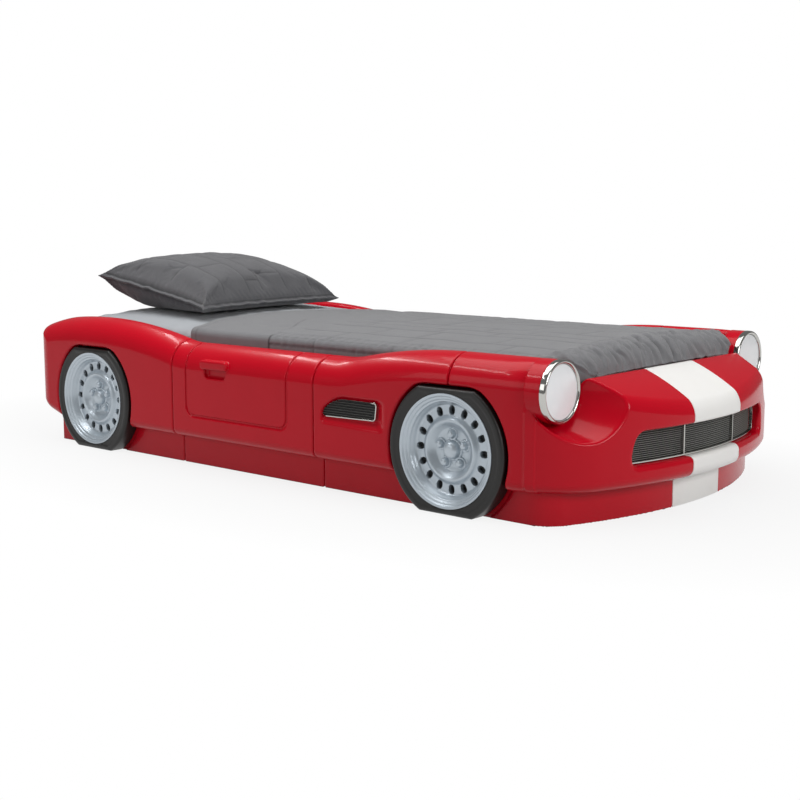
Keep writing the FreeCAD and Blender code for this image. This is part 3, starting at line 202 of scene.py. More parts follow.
# wheel paint with a fine orange peel; the bottoms of the holes are black
SILVER_PAINT = finish("silver_grey_wheel_paint", ("#C6D0D8", "#BCC7D0"), (25, 3), (1.0, 2, 0.15, 0.05),
                      ("hole", "#070708"), Roughness=0.34, Metallic=0.45, Coat_Weight=0.3, Coat_Roughness=0.15)
# bright plating that is a little hazy in places
CHROME, _shader = new_material("vacuum_plated_trim", Base_Color=linear("#BDBCB8"), Metallic=1.0)
_rough = add(CHROME, "ShaderNodeMapRange", {"To Min": 0.06, "To Max": 0.14}, Value=noise(CHROME, 25, 2))
feed(CHROME, _shader, Roughness=_rough.outputs["Result"])
# milky lens with a pebbled face
LENS_ACRYLIC = finish("frosted_acrylic", ("#FBFDFF", "#F3F6F8"), (30, 2), (3.0, 2, 0.2, 0.2),
                      Roughness=0.35, IOR=1.49, Coat_Weight=0.4, Coat_Roughness=0.1)
# deck and legs: grain runs along X
PINE = finish("plain_pine", ("#C79A63", "#A97B45"), (30, 4, (0.08, 1, 1)), Roughness=0.6)
# plates, brackets and bolts
STEEL = finish("zinc_plated_steel", ("#B9BCBF",), grain=(4, 3, 0.2, 0.05), Metallic=1.0, Roughness=0.32)
# board with the lamp's switch
BOARD = finish("green_circuit_board", ("#2E6B3C",), grain=(5, 2, 0.2, 0.1), Roughness=0.4)

# %% [markdown]
# ### Cloth
# The bedding is washed cotton. Threads half a millimetre apart are too fine for a picture of the
# whole bed, so the weave is drawn at 2.5 mm. The quilting lines, and a line of painted shade along the
# quilt's turned-back fold, come from the mesh as an attribute.


# %% Cotton
def cotton(name, colour, shade, thread_mm, stitched):
    """Woven cotton: two crossed waves as threads, soft colour clouds, and darker lines from an attribute:
    stitching, and painted shade along the quilt's fold edge.
    """
    material, shader = new_material(name, Roughness=0.85, Sheen_Weight=0.25, Sheen_Roughness=0.5)
    place = add(material, "ShaderNodeTexCoord").outputs["Object"]
    heights = []
    for axis in ("X", "Y"):
        settings = {"bands_direction": axis, "Scale": pi / (10 * thread_mm * MM), "Distortion": 0.3,
                    "Detail": 1.0}
        heights.append(add(material, "ShaderNodeTexWave", settings, Vector=place).outputs["Fac"])
    weave = add(material, "ShaderNodeMath", {"operation": "ADD"}, heights)
    total = add(material, "ShaderNodeMath", {"operation": "MULTIPLY_ADD"},
                (noise(material, 40, 4), None, weave.outputs[0]))
    total.inputs[1].default_value = 6.0
    bump(material, shader, total.outputs[0], 0.5, 0.5)
    result = blended(material, noise(material, 60, 4), colour, shade)
    if stitched:
        # stitching lines, and painted shade along the quilt's fold edge, multiply the colour darker
        result = marked(material, result, "stitch_and_painted_shade", "#3E3E40", blend_type="MULTIPLY")
    feed(material, shader, Base_Color=result)
    return material


QUILT_COTTON = cotton("quilted_dark_grey_cotton", "#767678", "#6C6C6F", 2.5, True)
PILLOW_COTTON = cotton("quilted_charcoal_cotton", "#545457", "#4B4B4E", 2.5, True)
SHEET_COTTON = cotton("light_grey_cotton", "#A4A8AC", "#999DA2", 2.5, False)
TICKING = cotton("white_mattress_ticking", "#DDDDDA", "#D2D2CE", 3.0, False)
print("materials:", [m.name for m in bpy.data.materials])

# %% [markdown]
# ## Making a mesh
# All new pieces are arrays of points first. This cell turns points and faces into a mesh, and puts
# a finished piece in the scene: its body and the CAD nodes it stands for.


# %% Mesh helpers
def make_piece(name, points, faces, material, body="car", replaces=(), slot=None, sharp=180, normals=None):
    """Mesh object from points in millimetres; edges that turn more than `sharp` degrees stay sharp."""
    mesh = bpy.data.meshes.new(name)
    mesh.from_pydata((np.asarray(points, float) * MM).tolist(), [], [list(map(int, face)) for face in faces])
    mesh.update()
    mesh.materials.append(material)
    mesh.polygons.foreach_set("use_smooth", [True] * len(mesh.polygons))
    if sharp < 180:
        mesh.set_sharp_from_angle(angle=radians(sharp))
    if normals is not None:
        mesh.normals_split_custom_set_from_vertices(normals.tolist())
    piece = bpy.data.objects.new(name, mesh)
    bpy.context.scene.collection.objects.link(piece)
    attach(piece, body)
    if replaces:
        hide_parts(*replaces)
    return piece


def mark(piece, attribute, values):
    """Stores one number per point on the mesh, for its material to read."""
    layer = piece.data.attributes.new(attribute, "FLOAT", "POINT")
    layer.data.foreach_set("value", np.concatenate([np.ravel(v) for v in values]).astype(np.float32))


def grid_faces(rows, columns, wrap_rows=False, wrap_columns=False):
    """Quads of a rows x columns grid of points, numbered row by row; a wrapped side joins its start."""
    last_row, last_column = rows if wrap_rows else rows - 1, columns if wrap_columns else columns - 1
    i, j = np.meshgrid(np.arange(last_row), np.arange(last_column), indexing="ij")
    k, m = (i + 1) % rows, (j + 1) % columns
    return np.stack([i * columns + j, k * columns + j, k * columns + m, i * columns + m], -1).reshape(-1, 4)


def joined(parts):
    """Joins (points, faces) pairs into one set of points and faces."""
    points, faces, start = [], [], 0
    for part_points, part_faces in parts:
        points.append(np.asarray(part_points, float))
        faces += [[int(v) + start for v in face] for face in part_faces]
        start += len(part_points)
    return np.concatenate(points), faces


def both_sides(part):
    """The part and its mirror image: Y changes sign and each face is turned round."""
    points, faces = part
    other = (np.asarray(points) * (1, -1, 1), [list(face)[::-1] for face in faces])
    return joined([part, other])


# %% [markdown]
# ## Panels as one distance function
# The panels have tubes, arches and openings, which no single grid of two parameters can follow. So
# a panel is described by a number at each point of space: negative inside, positive outside, in
# millimetres. Cutting is the larger of two such numbers, joining the smaller, and both can leave a
# round edge. The surface is where the number is zero. It is found on a grid of cells, and each point
# is then moved exactly onto it, which makes the reflections as smooth as the formula.


# %% Rounded cuts and joins
def cut_round(a, b, r):
    """What lies in both forms, with their common edge rounded to radius r."""
    return np.minimum(np.maximum(a, b), -r) + np.hypot(np.maximum(a + r, 0), np.maximum(b + r, 0))


def join_round(a, b, r):
    """What lies in either form, with the corner between them filled to radius r."""
    return np.maximum(np.minimum(a, b), r) - np.hypot(np.maximum(r - a, 0), np.maximum(r - b, 0))


def crest_height(x):
    """Top of the side: arc of the rear crest, hollow, level door, hollow, front crest, level lamp tube."""
    rear_z = REAR_CREST - REAR_CREST_RADIUS
    rear_sum = REAR_CREST_RADIUS + REAR_SWEEP
    dip_x = REAR_CREST_X + sqrt(rear_sum ** 2 - (DOOR_TOP + REAR_SWEEP - rear_z) ** 2)
    rear_join = REAR_CREST_X + (dip_x - REAR_CREST_X) * REAR_CREST_RADIUS / rear_sum
    run, rise = NOSE_SEAM_X - DOOR_RISE_X, FRONT_CREST - DOOR_TOP
    front_sum = (run ** 2 + rise ** 2) / (2 * rise)
    front_join = DOOR_RISE_X + run * FRONT_SWEEP / front_sum
    front_radius = front_sum - FRONT_SWEEP

    def crown(centre_x, top, radius):
        return top - radius + np.sqrt(np.maximum(radius ** 2 - (x - centre_x) ** 2, 0))

    def hollow(centre_x, radius):
        return DOOR_TOP + radius - np.sqrt(np.maximum(radius ** 2 - (x - centre_x) ** 2, 0))

    return np.select(
        [x < rear_join, x < dip_x, x < DOOR_RISE_X, x < front_join, x < NOSE_SEAM_X],
        [crown(REAR_CREST_X, REAR_CREST, REAR_CREST_RADIUS), hollow(dip_x, REAR_SWEEP), DOOR_TOP + 0 * x,
         hollow(DOOR_RISE_X, FRONT_SWEEP), crown(NOSE_SEAM_X, FRONT_CREST, front_radius)],
        FRONT_CREST)


def slot_2d(u, v, half_u, half_v, r):
    """Distance to a rectangle with corners of radius r, centred at (0, 0)."""
    a, b = np.abs(u) - half_u + r, np.abs(v) - half_v + r
    return np.minimum(np.maximum(a, b), 0) + np.hypot(np.maximum(a, 0), np.maximum(b, 0)) - r


def nose_plan(x, d, half, front_x, corner):
    """Distance outside the nose's plan: straight side, round corner, and a front that is one wide arc."""
    centre_x = front_x - NOSE_ARC_RADIUS
    inner = NOSE_ARC_RADIUS - corner
    corner_y = half - corner
    corner_x = centre_x + sqrt(inner ** 2 - corner_y ** 2)
    bearing = asin(corner_y / inner)
    front = np.hypot(x - centre_x, d) - NOSE_ARC_RADIUS
    turn = np.hypot(x - corner_x, d - corner_y) - corner
    in_front = d * cos(bearing) < (x - centre_x) * sin(bearing)
    return np.where(in_front, front, np.where(x > corner_x, turn, d - half))


# %% [markdown]
# ### Side panels
# The side is a slab with a wide roll along its top, a small one inside and one below, on a skirt
# that stands back. Wheel arch, door groove, handle, finger pocket and vent recess are cut or joined.


# %% Sides, door, fenders
def slab(x, d, z, side, top):
    """Cross-section of a side: outer and inner top edges rolled, lower edge rolled, on its skirt."""
    body = cut_round(cut_round(side, top, FENDER_ROLL), WELL_HALF - d, INNER_ROLL)
    return cut_round(body, SKIRT_TOP - z, LOWER_ROLL)


def skirt_wall(d, z):
    """Skirt of a side, below the panel and set back from it."""
    return np.maximum(np.maximum(d - SKIRT_HALF, WELL_HALF - d), np.maximum(z - SKIRT_TOP, -z))


def arch(x, d, z, centre_x):
    """Space of a wheel: a circle cut off flat on top, from the skirt's face outwards."""
    circle = np.hypot(x - centre_x, z - WHEEL_Z) - TYRE_RADIUS - 8
    return np.maximum(cut_round(circle, z - TYRE_TOP - 8, 12), SKIRT_HALF - d)


def between_seams(body, x, start, end):
    """The length of a body between two seams, with softly rolled ends."""
    if start is not None:
        body = cut_round(body, start + 1 - x, 5)
    if end is not None:
        body = cut_round(body, x - end + 1, 5)
    return body


def door_distance(x, y, z):
    """Side panel with the pressed outline of a door, a handle bar and the finger pocket below it."""
    d = np.abs(y)
    body = slab(x, d, z, d - BODY_HALF, z - crest_height(x))
    rear, front, low, radius = -350.0, 91.0, 161.0, 32.0
    frame_x, half_x = (rear + front) / 2, (front - rear) / 2
    outline = slot_2d(x - frame_x, z - (low + 400), half_x, 400, radius)
    groove = np.maximum(np.abs(outline) - 4.0, WELL_HALF + 30 - d)
    body = cut_round(body, -cut_round(groove, -body - 4.0, 2.0), 2.0)
    pocket = cut_round(slot_2d(x - HANDLE_X, z - 302, 46, 18, 12), (z - 318) * 0.9, 6)
    body = cut_round(body, -cut_round(pocket, BODY_HALF - 14 - d, 8), 4)
    bar = cut_round(slot_2d(x - HANDLE_X, z - 325, 60, 14, 10), d - BODY_HALF - 8, 6)
    bar = np.maximum(bar, BODY_HALF - 16 - d)
    body = join_round(body, bar, 2)
    body = np.minimum(body, skirt_wall(d, z))
    return between_seams(body, x, REAR_SEAM_X, FRONT_SEAM_X)


def front_fender_distance(x, y, z):
    """Side panel whose crest rises to the wheel arch, with a flared recess for the vent."""
    d = np.abs(y)
    body = slab(x, d, z, d - BODY_HALF, z - crest_height(x))
    body = np.minimum(body, skirt_wall(d, z))
    body = cut_round(body, -arch(x, d, z, FRONT_WHEEL_X), 7)
    deep = BODY_HALF - d
    recess = cut_round((z - 281 + 0.65 * deep) * 0.84, (x - 464 + 1.9 * deep) * 0.466, 12)
    recess = cut_round(recess, (200 - 0.03 * (x - 232) + 1.43 * deep - z) * 0.57, 8)
    recess = cut_round(recess, 230 + 0.15 * deep - x, 8)
    slant = (z - 232 - (x - 228) * 0.673) * 0.83 - 5 + 0.3 * deep
    recess = cut_round(cut_round(recess, slant, 14), deep - 14, 3)
    body = cut_round(body, -recess, 3.5)
    return between_seams(body, x, FRONT_SEAM_X, NOSE_SEAM_X)


def tail_top(x, z, level):
    """Distance above the tail's side profile: level line, rolled rear edge, and the rising lower edge."""
    top = cut_round(level, REAR_X - x, 40)
    rise = (SKIRT_TOP + 42 - z - 0.323 * (x - REAR_X)) * 0.95
    return top, np.maximum(SKIRT_TOP - z, rise)


def rear_fender_distance(x, y, z):
    """Side panel with the rear crest, wheel arch and the rounded rear corner."""
    d = np.abs(y)
    level = cut_round(z - crest_height(x), (z - TAIL_TOP - 0.4 * (x - REAR_X)) * 0.93, 30)
    top, low = tail_top(x, z, level)
    body = cut_round(cut_round(d - BODY_HALF, top, FENDER_ROLL), WELL_HALF - d, INNER_ROLL)
    body = cut_round(body, low, LOWER_ROLL)
    skirt = np.maximum(skirt_wall(d, z), REAR_X + 90 - x)
    body = cut_round(np.minimum(body, skirt), -arch(x, d, z, REAR_WHEEL_X), 7)
    return between_seams(body, x, None, REAR_SEAM_X)


def tail_distance(x, y, z):
    """Tail between the fenders: deck behind the mattress with rolled edges, on the rear skirt."""
    d = np.abs(y)
    top, low = tail_top(x, z, z - TAIL_TOP)
    body = cut_round(cut_round(top, x - WELL_REAR_X, INNER_ROLL), low, LOWER_ROLL)
    skirt = np.maximum(np.maximum(z - SKIRT_TOP, -z), np.maximum(REAR_X + 90 - x, x - WELL_REAR_X))
    return cut_round(np.minimum(body, skirt), d - WELL_HALF + 1, 3)


# %% [markdown]
# ### Nose
# The hood's side profile is an arc that dips to the front. Round each headlamp a trumpet-shaped
# scoop is cut, its edge soft, and the lamp's tube stands free inside it. The grille sits in a slot
# whose lower edge is a thick roll. The centre stripe is let in, with a narrow groove at its edges.


# %% Nose
def circle_through(p, q, r):
    """Centre and radius of the circle through three points."""
    (x1, z1), (x2, z2), (x3, z3) = p, q, r
    a = np.array([[x2 - x1, z2 - z1], [x3 - x1, z3 - z1]])
    b = np.array([(x2 ** 2 - x1 ** 2 + z2 ** 2 - z1 ** 2) / 2, (x3 ** 2 - x1 ** 2 + z3 ** 2 - z1 ** 2) / 2])
    cx, cz = np.linalg.solve(a, b)
    return cx, cz, sqrt((x1 - cx) ** 2 + (z1 - cz) ** 2)


HOOD_CX, HOOD_CZ, HOOD_RADIUS = circle_through((990, 371), (1076, 331), (1177, 262))


def grille_turn(z):
    """Corner radius of the grille at a height: its upper corners are rounder than its lower ones."""
    return np.where(z > GRILLE_Z, 38.0, 16.0)


def plain_nose(x, d, z):
    """The nose without its stripe groove: hood, side arms, scoops, lamp tubes, grille slot, skirt."""
    plan = nose_plan(x, d, BODY_HALF, NOSE_X, 230.0)
    hood = np.hypot(x - HOOD_CX, z - HOOD_CZ) - HOOD_RADIUS
    front = cut_round(plan, hood, 24)
    rear_slope = (z - 371 - (x - 990)) * 0.7071
    front = cut_round(front, rear_slope, 10)
    front = np.maximum(cut_round(front, SKIRT_TOP - z, LOWER_ROLL), WELL_FRONT_X - x)
    arm = slab(x, d, z, plan, z - FRONT_CREST)
    arm = np.maximum(arm, x - (TUBE_FRONT_X - 10))
    body = join_round(front, arm, 8)
    r = np.hypot(d - LAMP_Y, z - LAMP_Z)
    along = x - (TUBE_FRONT_X - 10)
    trumpet = cut_round((r - FENDER_ROLL - 1 - along * 0.5214) * 0.8867, r - 156, 60)
    scoop = cut_round(trumpet, -along, 6)
    body = cut_round(body, -scoop, 8)
    slot = slot_2d(d, z - GRILLE_Z, GRILLE_HALF_Y + 6, GRILLE_HALF_Z + 2, grille_turn(z) + 2)
    arc = np.hypot(x - NOSE_ARC_X, d) - NOSE_ARC_RADIUS
    slot = np.maximum(slot, -(arc + 46))
    lip = 7 + 10 * np.clip((206 - z) / 30, 0, 1)
    body = cut_round(body, -slot, lip)
    skirt = np.maximum(nose_plan(x, d, SKIRT_HALF, NOSE_X - 60, 90.0), np.maximum(z - SKIRT_TOP, -z))
    skirt = np.maximum(skirt, np.minimum(WELL_FRONT_X - x, WELL_HALF - d))
    skirt = np.maximum(skirt, np.where(x < WELL_FRONT_X, WELL_HALF - d, -1000))
    body = np.minimum(body, skirt)
    tube = np.maximum(cut_round(r - FENDER_ROLL, x - RED_TUBE_X, 1.5), WELL_FRONT_X - x)
    body = np.minimum(body, tube)
    bore = np.maximum(r - FENDER_ROLL + 8.5, TUBE_FRONT_X - 24 - x)
    body = np.maximum(body, -bore)
    body = cut_round(body, -arch(x, d, z, FRONT_WHEEL_X), 7)
    return body


def nose_distance(x, y, z):
    """The red nose: plain nose with the stripe's bed, 3 mm deep, taken out."""
    d = np.abs(y)
    body = plain_nose(x, d, z)
    bed = np.maximum(np.maximum(d - STRIPE_HALF - 1, -(body + 3)), WELL_FRONT_X + 62 - x)
    body = np.maximum(body, -bed)
    return between_seams(body, x, NOSE_SEAM_X, None)


# %% [markdown]
# ### From distance to mesh
# A cell of the grid that the surface passes through gets one point, at the mean of the places where
# the surface crosses its edges. Each grid edge that it crosses gives one quad between four cells.


# %% The extraction
def settle(distance, points, rounds=4):
    """Moves points along the gradient until the distance is zero; returns them and their normals."""
    step = 0.4
    for _ in range(rounds):
        value = distance(*points.T)
        slope = np.stack([
            distance(*(points + offset).T) - distance(*(points - offset).T) for offset in np.eye(3) * step
        ], -1) / (2 * step)
        size = np.maximum((slope ** 2).sum(-1), 0.05)
        move = np.clip(value / size, -2.5, 2.5)
        points = points - slope * move[:, None]
    return points, slope / np.sqrt(np.maximum((slope ** 2).sum(-1), 1e-9))[:, None]


def surface(distance, xs, ys, zs):
    """Points, quads and normals of the zero surface on the grid with these coordinates."""
    axes = [np.asarray(a, float) for a in (xs, ys, zs)]
    field = distance(*np.meshgrid(*axes, indexing="ij"))
    inside = field < 0
    cells = tuple(n - 1 for n in field.shape)

    def corner(array, i, j, k):
        return array[i:i + cells[0], j:j + cells[1], k:k + cells[2]]

    corners = [(i, j, k) for i in (0, 1) for j in (0, 1) for k in (0, 1)]
    filled = sum(corner(inside, *c).astype(np.int8) for c in corners)
    used = (filled > 0) & (filled < 8)
    number = np.full(cells, -1)
    number[used] = np.arange(used.sum())
    at = np.nonzero(used)
    total, hits = np.zeros((len(at[0]), 3)), np.zeros(len(at[0]))
    for c in corners:
        for axis in range(3):
            if c[axis]:
                continue
            e = tuple(v + (n == axis) for n, v in enumerate(c))
            fa = field[at[0] + c[0], at[1] + c[1], at[2] + c[2]]
            fb = field[at[0] + e[0], at[1] + e[1], at[2] + e[2]]
            crossed = (fa < 0) != (fb < 0)
            t = np.where(crossed, fa / np.where(crossed, fa - fb, 1), 0)
            for n in range(3):
                low, high = axes[n][at[n] + c[n]], axes[n][at[n] + e[n]]
                total[:, n] += np.where(crossed, low + (high - low) * t, 0)
            hits += crossed
    points = total / hits[:, None]
    faces = []
    for axis in range(3):
        u, v = (axis + 1) % 3, (axis + 2) % 3
        shape = [slice(1, -1)] * 3
        shape[axis] = slice(0, -1)
        after = [slice(1, -1)] * 3
        after[axis] = slice(1, None)
        first, second = inside[tuple(shape)], inside[tuple(after)]
        crossing = np.array(np.nonzero(first != second))
        rising = first[tuple(crossing)]
        base = crossing.copy()
        base[u] += 1
        base[v] += 1
        ring = []
        for du, dv in ((-1, -1), (0, -1), (0, 0), (-1, 0)):
            cell = base.copy()
            cell[u] += du
            cell[v] += dv
            ring.append(number[tuple(cell)])
        ring = np.stack(ring, -1)
        ring[~rising] = ring[~rising][:, ::-1]
        faces.append(ring)
    points, normals = settle(distance, points)
    return points, np.concatenate(faces), normals


def steps(*spans):
    """Grid coordinates from (start, end, spacing) spans that follow each other."""
    parts = [np.linspace(a, b, max(2, int(round((b - a) / s)) + 1)) for a, b, s in spans]
    return np.unique(np.round(np.concatenate(parts), 4))


def panel(name, distance, xs, ys, zs, nodes, material=RED_PLASTIC, slot="red_body"):
    """The surface of a distance function as a piece; prints how many triangles it has."""
    points, faces, normals = surface(distance, xs, ys, zs)
    piece = make_piece(name, points, faces, material, replaces=nodes, slot=slot, normals=normals)
    print(name, "triangles", 2 * len(faces))
    return piece


# %% Side panels in the scene
HEIGHTS = steps((-3, 84, 4), (84, 120, 3), (120, 340, 3.5), (340, 445, 3.3))
for side, sign in (("right", -1), ("left", 1)):
    across = np.sort(sign * steps((486, 590, 4), (590, 608, 3)))
    panel("moulded_door_" + side, door_distance, steps((-422, 202, 3.2)), across,
          HEIGHTS[HEIGHTS < 392], ["door_" + side])
    panel("moulded_front_fender_" + side, front_fender_distance, steps((194, 688, 3.5)), across,
          HEIGHTS, ["front_fender_" + side])
    panel("moulded_rear_fender_" + side, rear_fender_distance, steps((-1161, -414, 3.9)), across,
          HEIGHTS, ["rear_fender_" + side])
panel("moulded_tail", tail_distance, steps((-1161, -1006, 5)), steps((-496, 496, 9)),
      steps((-3, 400, 5)), ["tail_panel"])

# %% Nose in the scene
ys = steps((129, 133, 1.3), (133, 330, 6.5), (330, 602, 4.4))
ys = np.concatenate([-ys[::-1], steps((-129, 129, 8.6))[1:-1], ys])
panel("moulded_nose", nose_distance, steps((681, 930, 5), (930, 1162, 4)), ys,
      steps((-3, 84, 6), (84, 130, 3.8), (130, 429, 4.2)), ["nose_panel"])


# %% [markdown]
# ### White stripe
# The stripe is let into the nose in three pieces: hood with brow, lip and skirt. Each is a strip: a
# side profile of the nose is carried across, moved onto the nose's surface, and its edges turn down.


# %% Stripe pieces
def strip(name, profile, node):
    """Strip over |y| < 130: rows follow (x, z) points of the profile, columns go across; edges turn down."""
    profile = np.asarray(profile, float)
    edge = np.array([STRIPE_HALF - 0.3] * 3 + [STRIPE_HALF - 0.6, STRIPE_HALF - 1.5])
    drop = np.array([3.0, 1.6, 1.0, 0.35, 0.05])
    middle = np.linspace(-STRIPE_HALF + 3, STRIPE_HALF - 3, 41)
    y = np.concatenate([-edge, middle, edge[::-1]])
    drop = np.concatenate([drop, np.zeros(41), drop[::-1]])
    bow = NOSE_ARC_RADIUS - np.sqrt(NOSE_ARC_RADIUS ** 2 - y ** 2)
    x = profile[:, :1] - bow * profile[:, 2:]
    points = np.stack([x, y + 0 * x, profile[:, 1:2] + 0 * x], -1).reshape(-1, 3)

    def smooth_nose(px, py, pz):
        return plain_nose(px, np.abs(py), pz)

    points, normals = settle(smooth_nose, points, 8)
    points[:, 1] = np.tile(y, len(profile))
    points = points - normals * (np.tile(drop, len(profile)) - 0.4)[:, None]
    points[:, 1] = np.tile(y, len(profile))
    faces = grid_faces(len(profile), len(y))
    make_piece(name, points, faces, WHITE_PLASTIC, replaces=[node], slot="white_stripe", sharp=60)
    print(name, "rows", len(profile), "columns", len(y))


def along(corners, spacing=1.8):
    """Points every few millimetres on straight runs through (x, z, share of the nose's bow) corners."""
    corners = np.asarray(corners, float)
    gone = np.concatenate([[0], np.cumsum(np.hypot(*np.diff(corners[:, :2], axis=0).T))])
    at = np.linspace(0, gone[-1], int(gone[-1] / spacing) + 1)
    return np.stack([np.interp(at, gone, corners[:, i]) for i in range(3)], -1)


hood_x = np.linspace(992, 1128, 40)
hood_z = HOOD_CZ + np.sqrt(HOOD_RADIUS ** 2 - (hood_x - HOOD_CX) ** 2)
hood = np.stack([hood_x, hood_z, np.clip((hood_x - 1080) / 48, 0, 1)], -1)
brow = [(1140, 289, 1), (1150, 274, 1), (1156.5, 260, 1), (1157, 245, 1), (1154, 237, 1), (1148, 235, 1),
        (1122, 235, 1)]
strip("stripe_on_hood", along(np.vstack([hood, brow])), "stripe_hood")
lip = [(1116, 146, 1), (1140, 146, 1), (1152, 141, 1), (1157, 129, 1), (1157, 116, 1), (1149, 96, 1),
       (1129, 88, 1), (1100, 88, 1)]
strip("stripe_on_lip", along(lip), "stripe_lip")
strip("stripe_on_skirt", along([(1097, 86, 1), (1097, 1, 1)], 6), "stripe_skirt")

# %% [markdown]
# ## Wheels
# Tyre and rim are turned forms, seen on a polar grid. The tyre's outline is a circle cut off flat on
# top and at the floor. The rim is one height over radius and angle: stepped lip, dish with sixteen
# oval holes, raised ring, bowl, hub dome and five domed nuts.


# %% Tyres
SEAT_RADIUS = 157.0         # where the tyre's wall meets the rim


def wheel_place(centre_x):
    """Puts (radius, angle, depth behind the face) on the car's right side."""
    return lambda r, a, depth: np.stack([centre_x + r * np.cos(a), depth - FACE, WHEEL_Z + r * np.sin(a)], -1)


def tyre_outline(a):
    """Radius of the tyre at an angle: the circle, or less where the flat top and the floor cut it."""
    rise = np.sin(a)
    top = np.where(rise > 0.05, (TYRE_TOP - WHEEL_Z) / np.maximum(rise, 0.05), 999)
    low = np.where(rise < -0.05, WHEEL_Z / np.maximum(-rise, 0.05), 999)
    return np.minimum(TYRE_RADIUS, np.minimum(top, low))


def tyre(centre_x):
    """Rows are profile points (inset from the outline, depth, fixed radius if given), columns angles."""
    a = 2 * pi * np.arange(360) / 360
    outline = tyre_outline(a)
    bevel = np.linspace(0, pi / 2, 8)
    inset = np.concatenate([[0, 0], 9 * (1 - np.cos(bevel)), [14, 17, 20, 22]])
    depth = np.concatenate([[51, 30], 9 - 9 * np.sin(bevel), [0, 0.4, 1.4, 1.6]])
    rows = [np.maximum(outline - i, SEAT_RADIUS + 0.2) for i in inset]
    rows += [r + 0 * a for r in (SEAT_RADIUS, 153.5, 152.8, 152.8)]
    depth = np.concatenate([depth, [1.6, 2.2, 4.0, 28.0]])
    r, z = np.array(rows), depth[:, None] + 0 * a
    faces = grid_faces(len(r), 360, wrap_columns=True)[:, ::-1]
    return wheel_place(centre_x)(r, a + 0 * r, z).reshape(-1, 3), faces


make_piece("moulded_tyres", *both_sides(joined([tyre(FRONT_WHEEL_X), tyre(REAR_WHEEL_X)])), TYRE_PLASTIC,
           replaces=["tyres"], slot="tyre_black", sharp=50)


# %% Rims
HOLES = []                  # per rim, how much of each point lies in a hole


def ease(t):
    """Smooth step: 0 below 0, 1 above 1, level at both."""
    t = np.clip(t, 0, 1)
    return t * t * (3 - 2 * t)


def rim_depth(r, a):
    """Depth behind the tyre's face and share of hole: profile over the radius, less the hub and nut domes."""
    profile_r = [0, 48, 58, 66, 73, 77, 81, 85, 89, 94, 117, 121, 126, 129, 130.5, 136, 137.5, 144,
                 145.5, 152.5]
    profile_d = [42, 42, 40, 33, 25, 22, 22, 25, 30, 33, 33.5, 31, 22, 18.5, 13.5, 12, 7.5, 6, 1.2, 0.2]
    base = np.zeros_like(r)
    for shift in np.linspace(-0.9, 0.9, 5):
        base += np.interp(r + shift, profile_r, profile_d) / 5
    hub = 20 * np.sqrt(np.maximum(1 - (r / 25) ** 3.2, 0)) + 5 * ease((31 - r) / 3)
    depth = base - hub
    x, y = r * np.cos(a), r * np.sin(a)
    for i in range(5):
        turn = 2 * pi * i / 5 + 0.35
        far = np.hypot(x - 42 * np.cos(turn), y - 42 * np.sin(turn))
        nut = 42 - 5 * ease((17 - far) / 2) - 13 * np.sqrt(np.maximum(1 - (far / 11.5) ** 3.4, 0))
        depth = np.minimum(depth, nut)
    beat = 2 * pi / 16
    off = (a + beat / 2) % beat - beat / 2
    oval = np.hypot((r - 106) / 12.5, r * off / 9.5)
    hole = ease((1.03 - oval) / 0.12)
    return depth + 13 * hole, hole


def rim(centre_x):
    """Polar grid over the rim, finest where the holes are; the last rows go back into the tyre's seat."""
    a = 2 * pi * np.arange(480) / 480
    radii = np.concatenate([[0.01], steps((2, 34, 1.6), (34, 92, 2.1), (92, 120, 1.2), (120, 152.5, 1.3))])
    r = radii[:, None] + 0 * a
    depth, hole = rim_depth(r, a + 0 * r)
    r = np.vstack([r, r[-1:]])
    depth = np.vstack([depth, 0 * a[None] + 27])
    HOLES.append(np.vstack([hole, 0 * hole[-1:]]).ravel())
    return wheel_place(centre_x)(r, a + 0 * r, depth).reshape(-1, 3), grid_faces(len(r), 480, wrap_columns=True)


points, faces = both_sides(joined([rim(FRONT_WHEEL_X), rim(REAR_WHEEL_X)]))
rims = make_piece("painted_rims", points, faces, SILVER_PAINT, replaces=["wheel_rims"],
                  slot="rim_silver", sharp=55)
mark(rims, "hole", HOLES * 2)
print("rim triangles", 2 * len(faces))

# %% [markdown]
# ## Headlamps
# Bezel and lens are turned forms: a profile of distance along the lamp's axis and radius, carried
# round it. The lens is frosted and stepped and sits behind the bezel's rolled lip.


# %% Bezels and lenses
def lamp_turned(profile, count=160):
    """Carries (x, radius) points round the right lamp's axis; rows are profile points."""
    profile = np.asarray(profile, float)
    a = 2 * pi * np.arange(count) / count
    x = profile[:, :1] + 0 * a
    y = -LAMP_Y + profile[:, 1:] * np.cos(a)
    z = LAMP_Z + profile[:, 1:] * np.sin(a)
    return np.stack([x, y, z], -1).reshape(-1, 3), grid_faces(len(profile), count, wrap_columns=True)[:, ::-1]


bend = np.linspace(0, pi, 19)
lip = np.stack([983.2 + 5.8 * np.sin(bend), 76.8 + 5.4 * np.cos(bend)], -1)
collar = [(RED_TUBE_X - 1, 79), (RED_TUBE_X - 1, 82.3), (RED_TUBE_X + 0.6, 82.6), (RED_TUBE_X + 4, 82.6)]
inner = [(979.5, 71.6), (RED_TUBE_X - 1, 74), (RED_TUBE_X - 1, 79)]
make_piece("plated_bezels", *both_sides(lamp_turned(np.vstack([collar, lip, inner]))), CHROME,
           replaces=["lamp_bezels"], slot="bright_trim", sharp=50)
bow = np.linspace(0, 1, 24)
lens = [(977, 0.01), (977, 70.6), (982.6, 70.6), (983.6, 69.8)]
lens += [(983.8 + 4.6 * (1 - (1 - t) ** 2), 69.4 * (1 - t) + 0.01) for t in bow]
for side in ("right", "left"):
    points, faces = lamp_turned(lens)
    if side == "left":
        points, faces = points * (1, -1, 1), faces[:, ::-1]
    make_piece("frosted_lens_" + side, points, faces, LENS_ACRYLIC, body="lens_" + side,
               replaces=["lamp_lens_" + side], slot="lens_frosted", sharp=40)
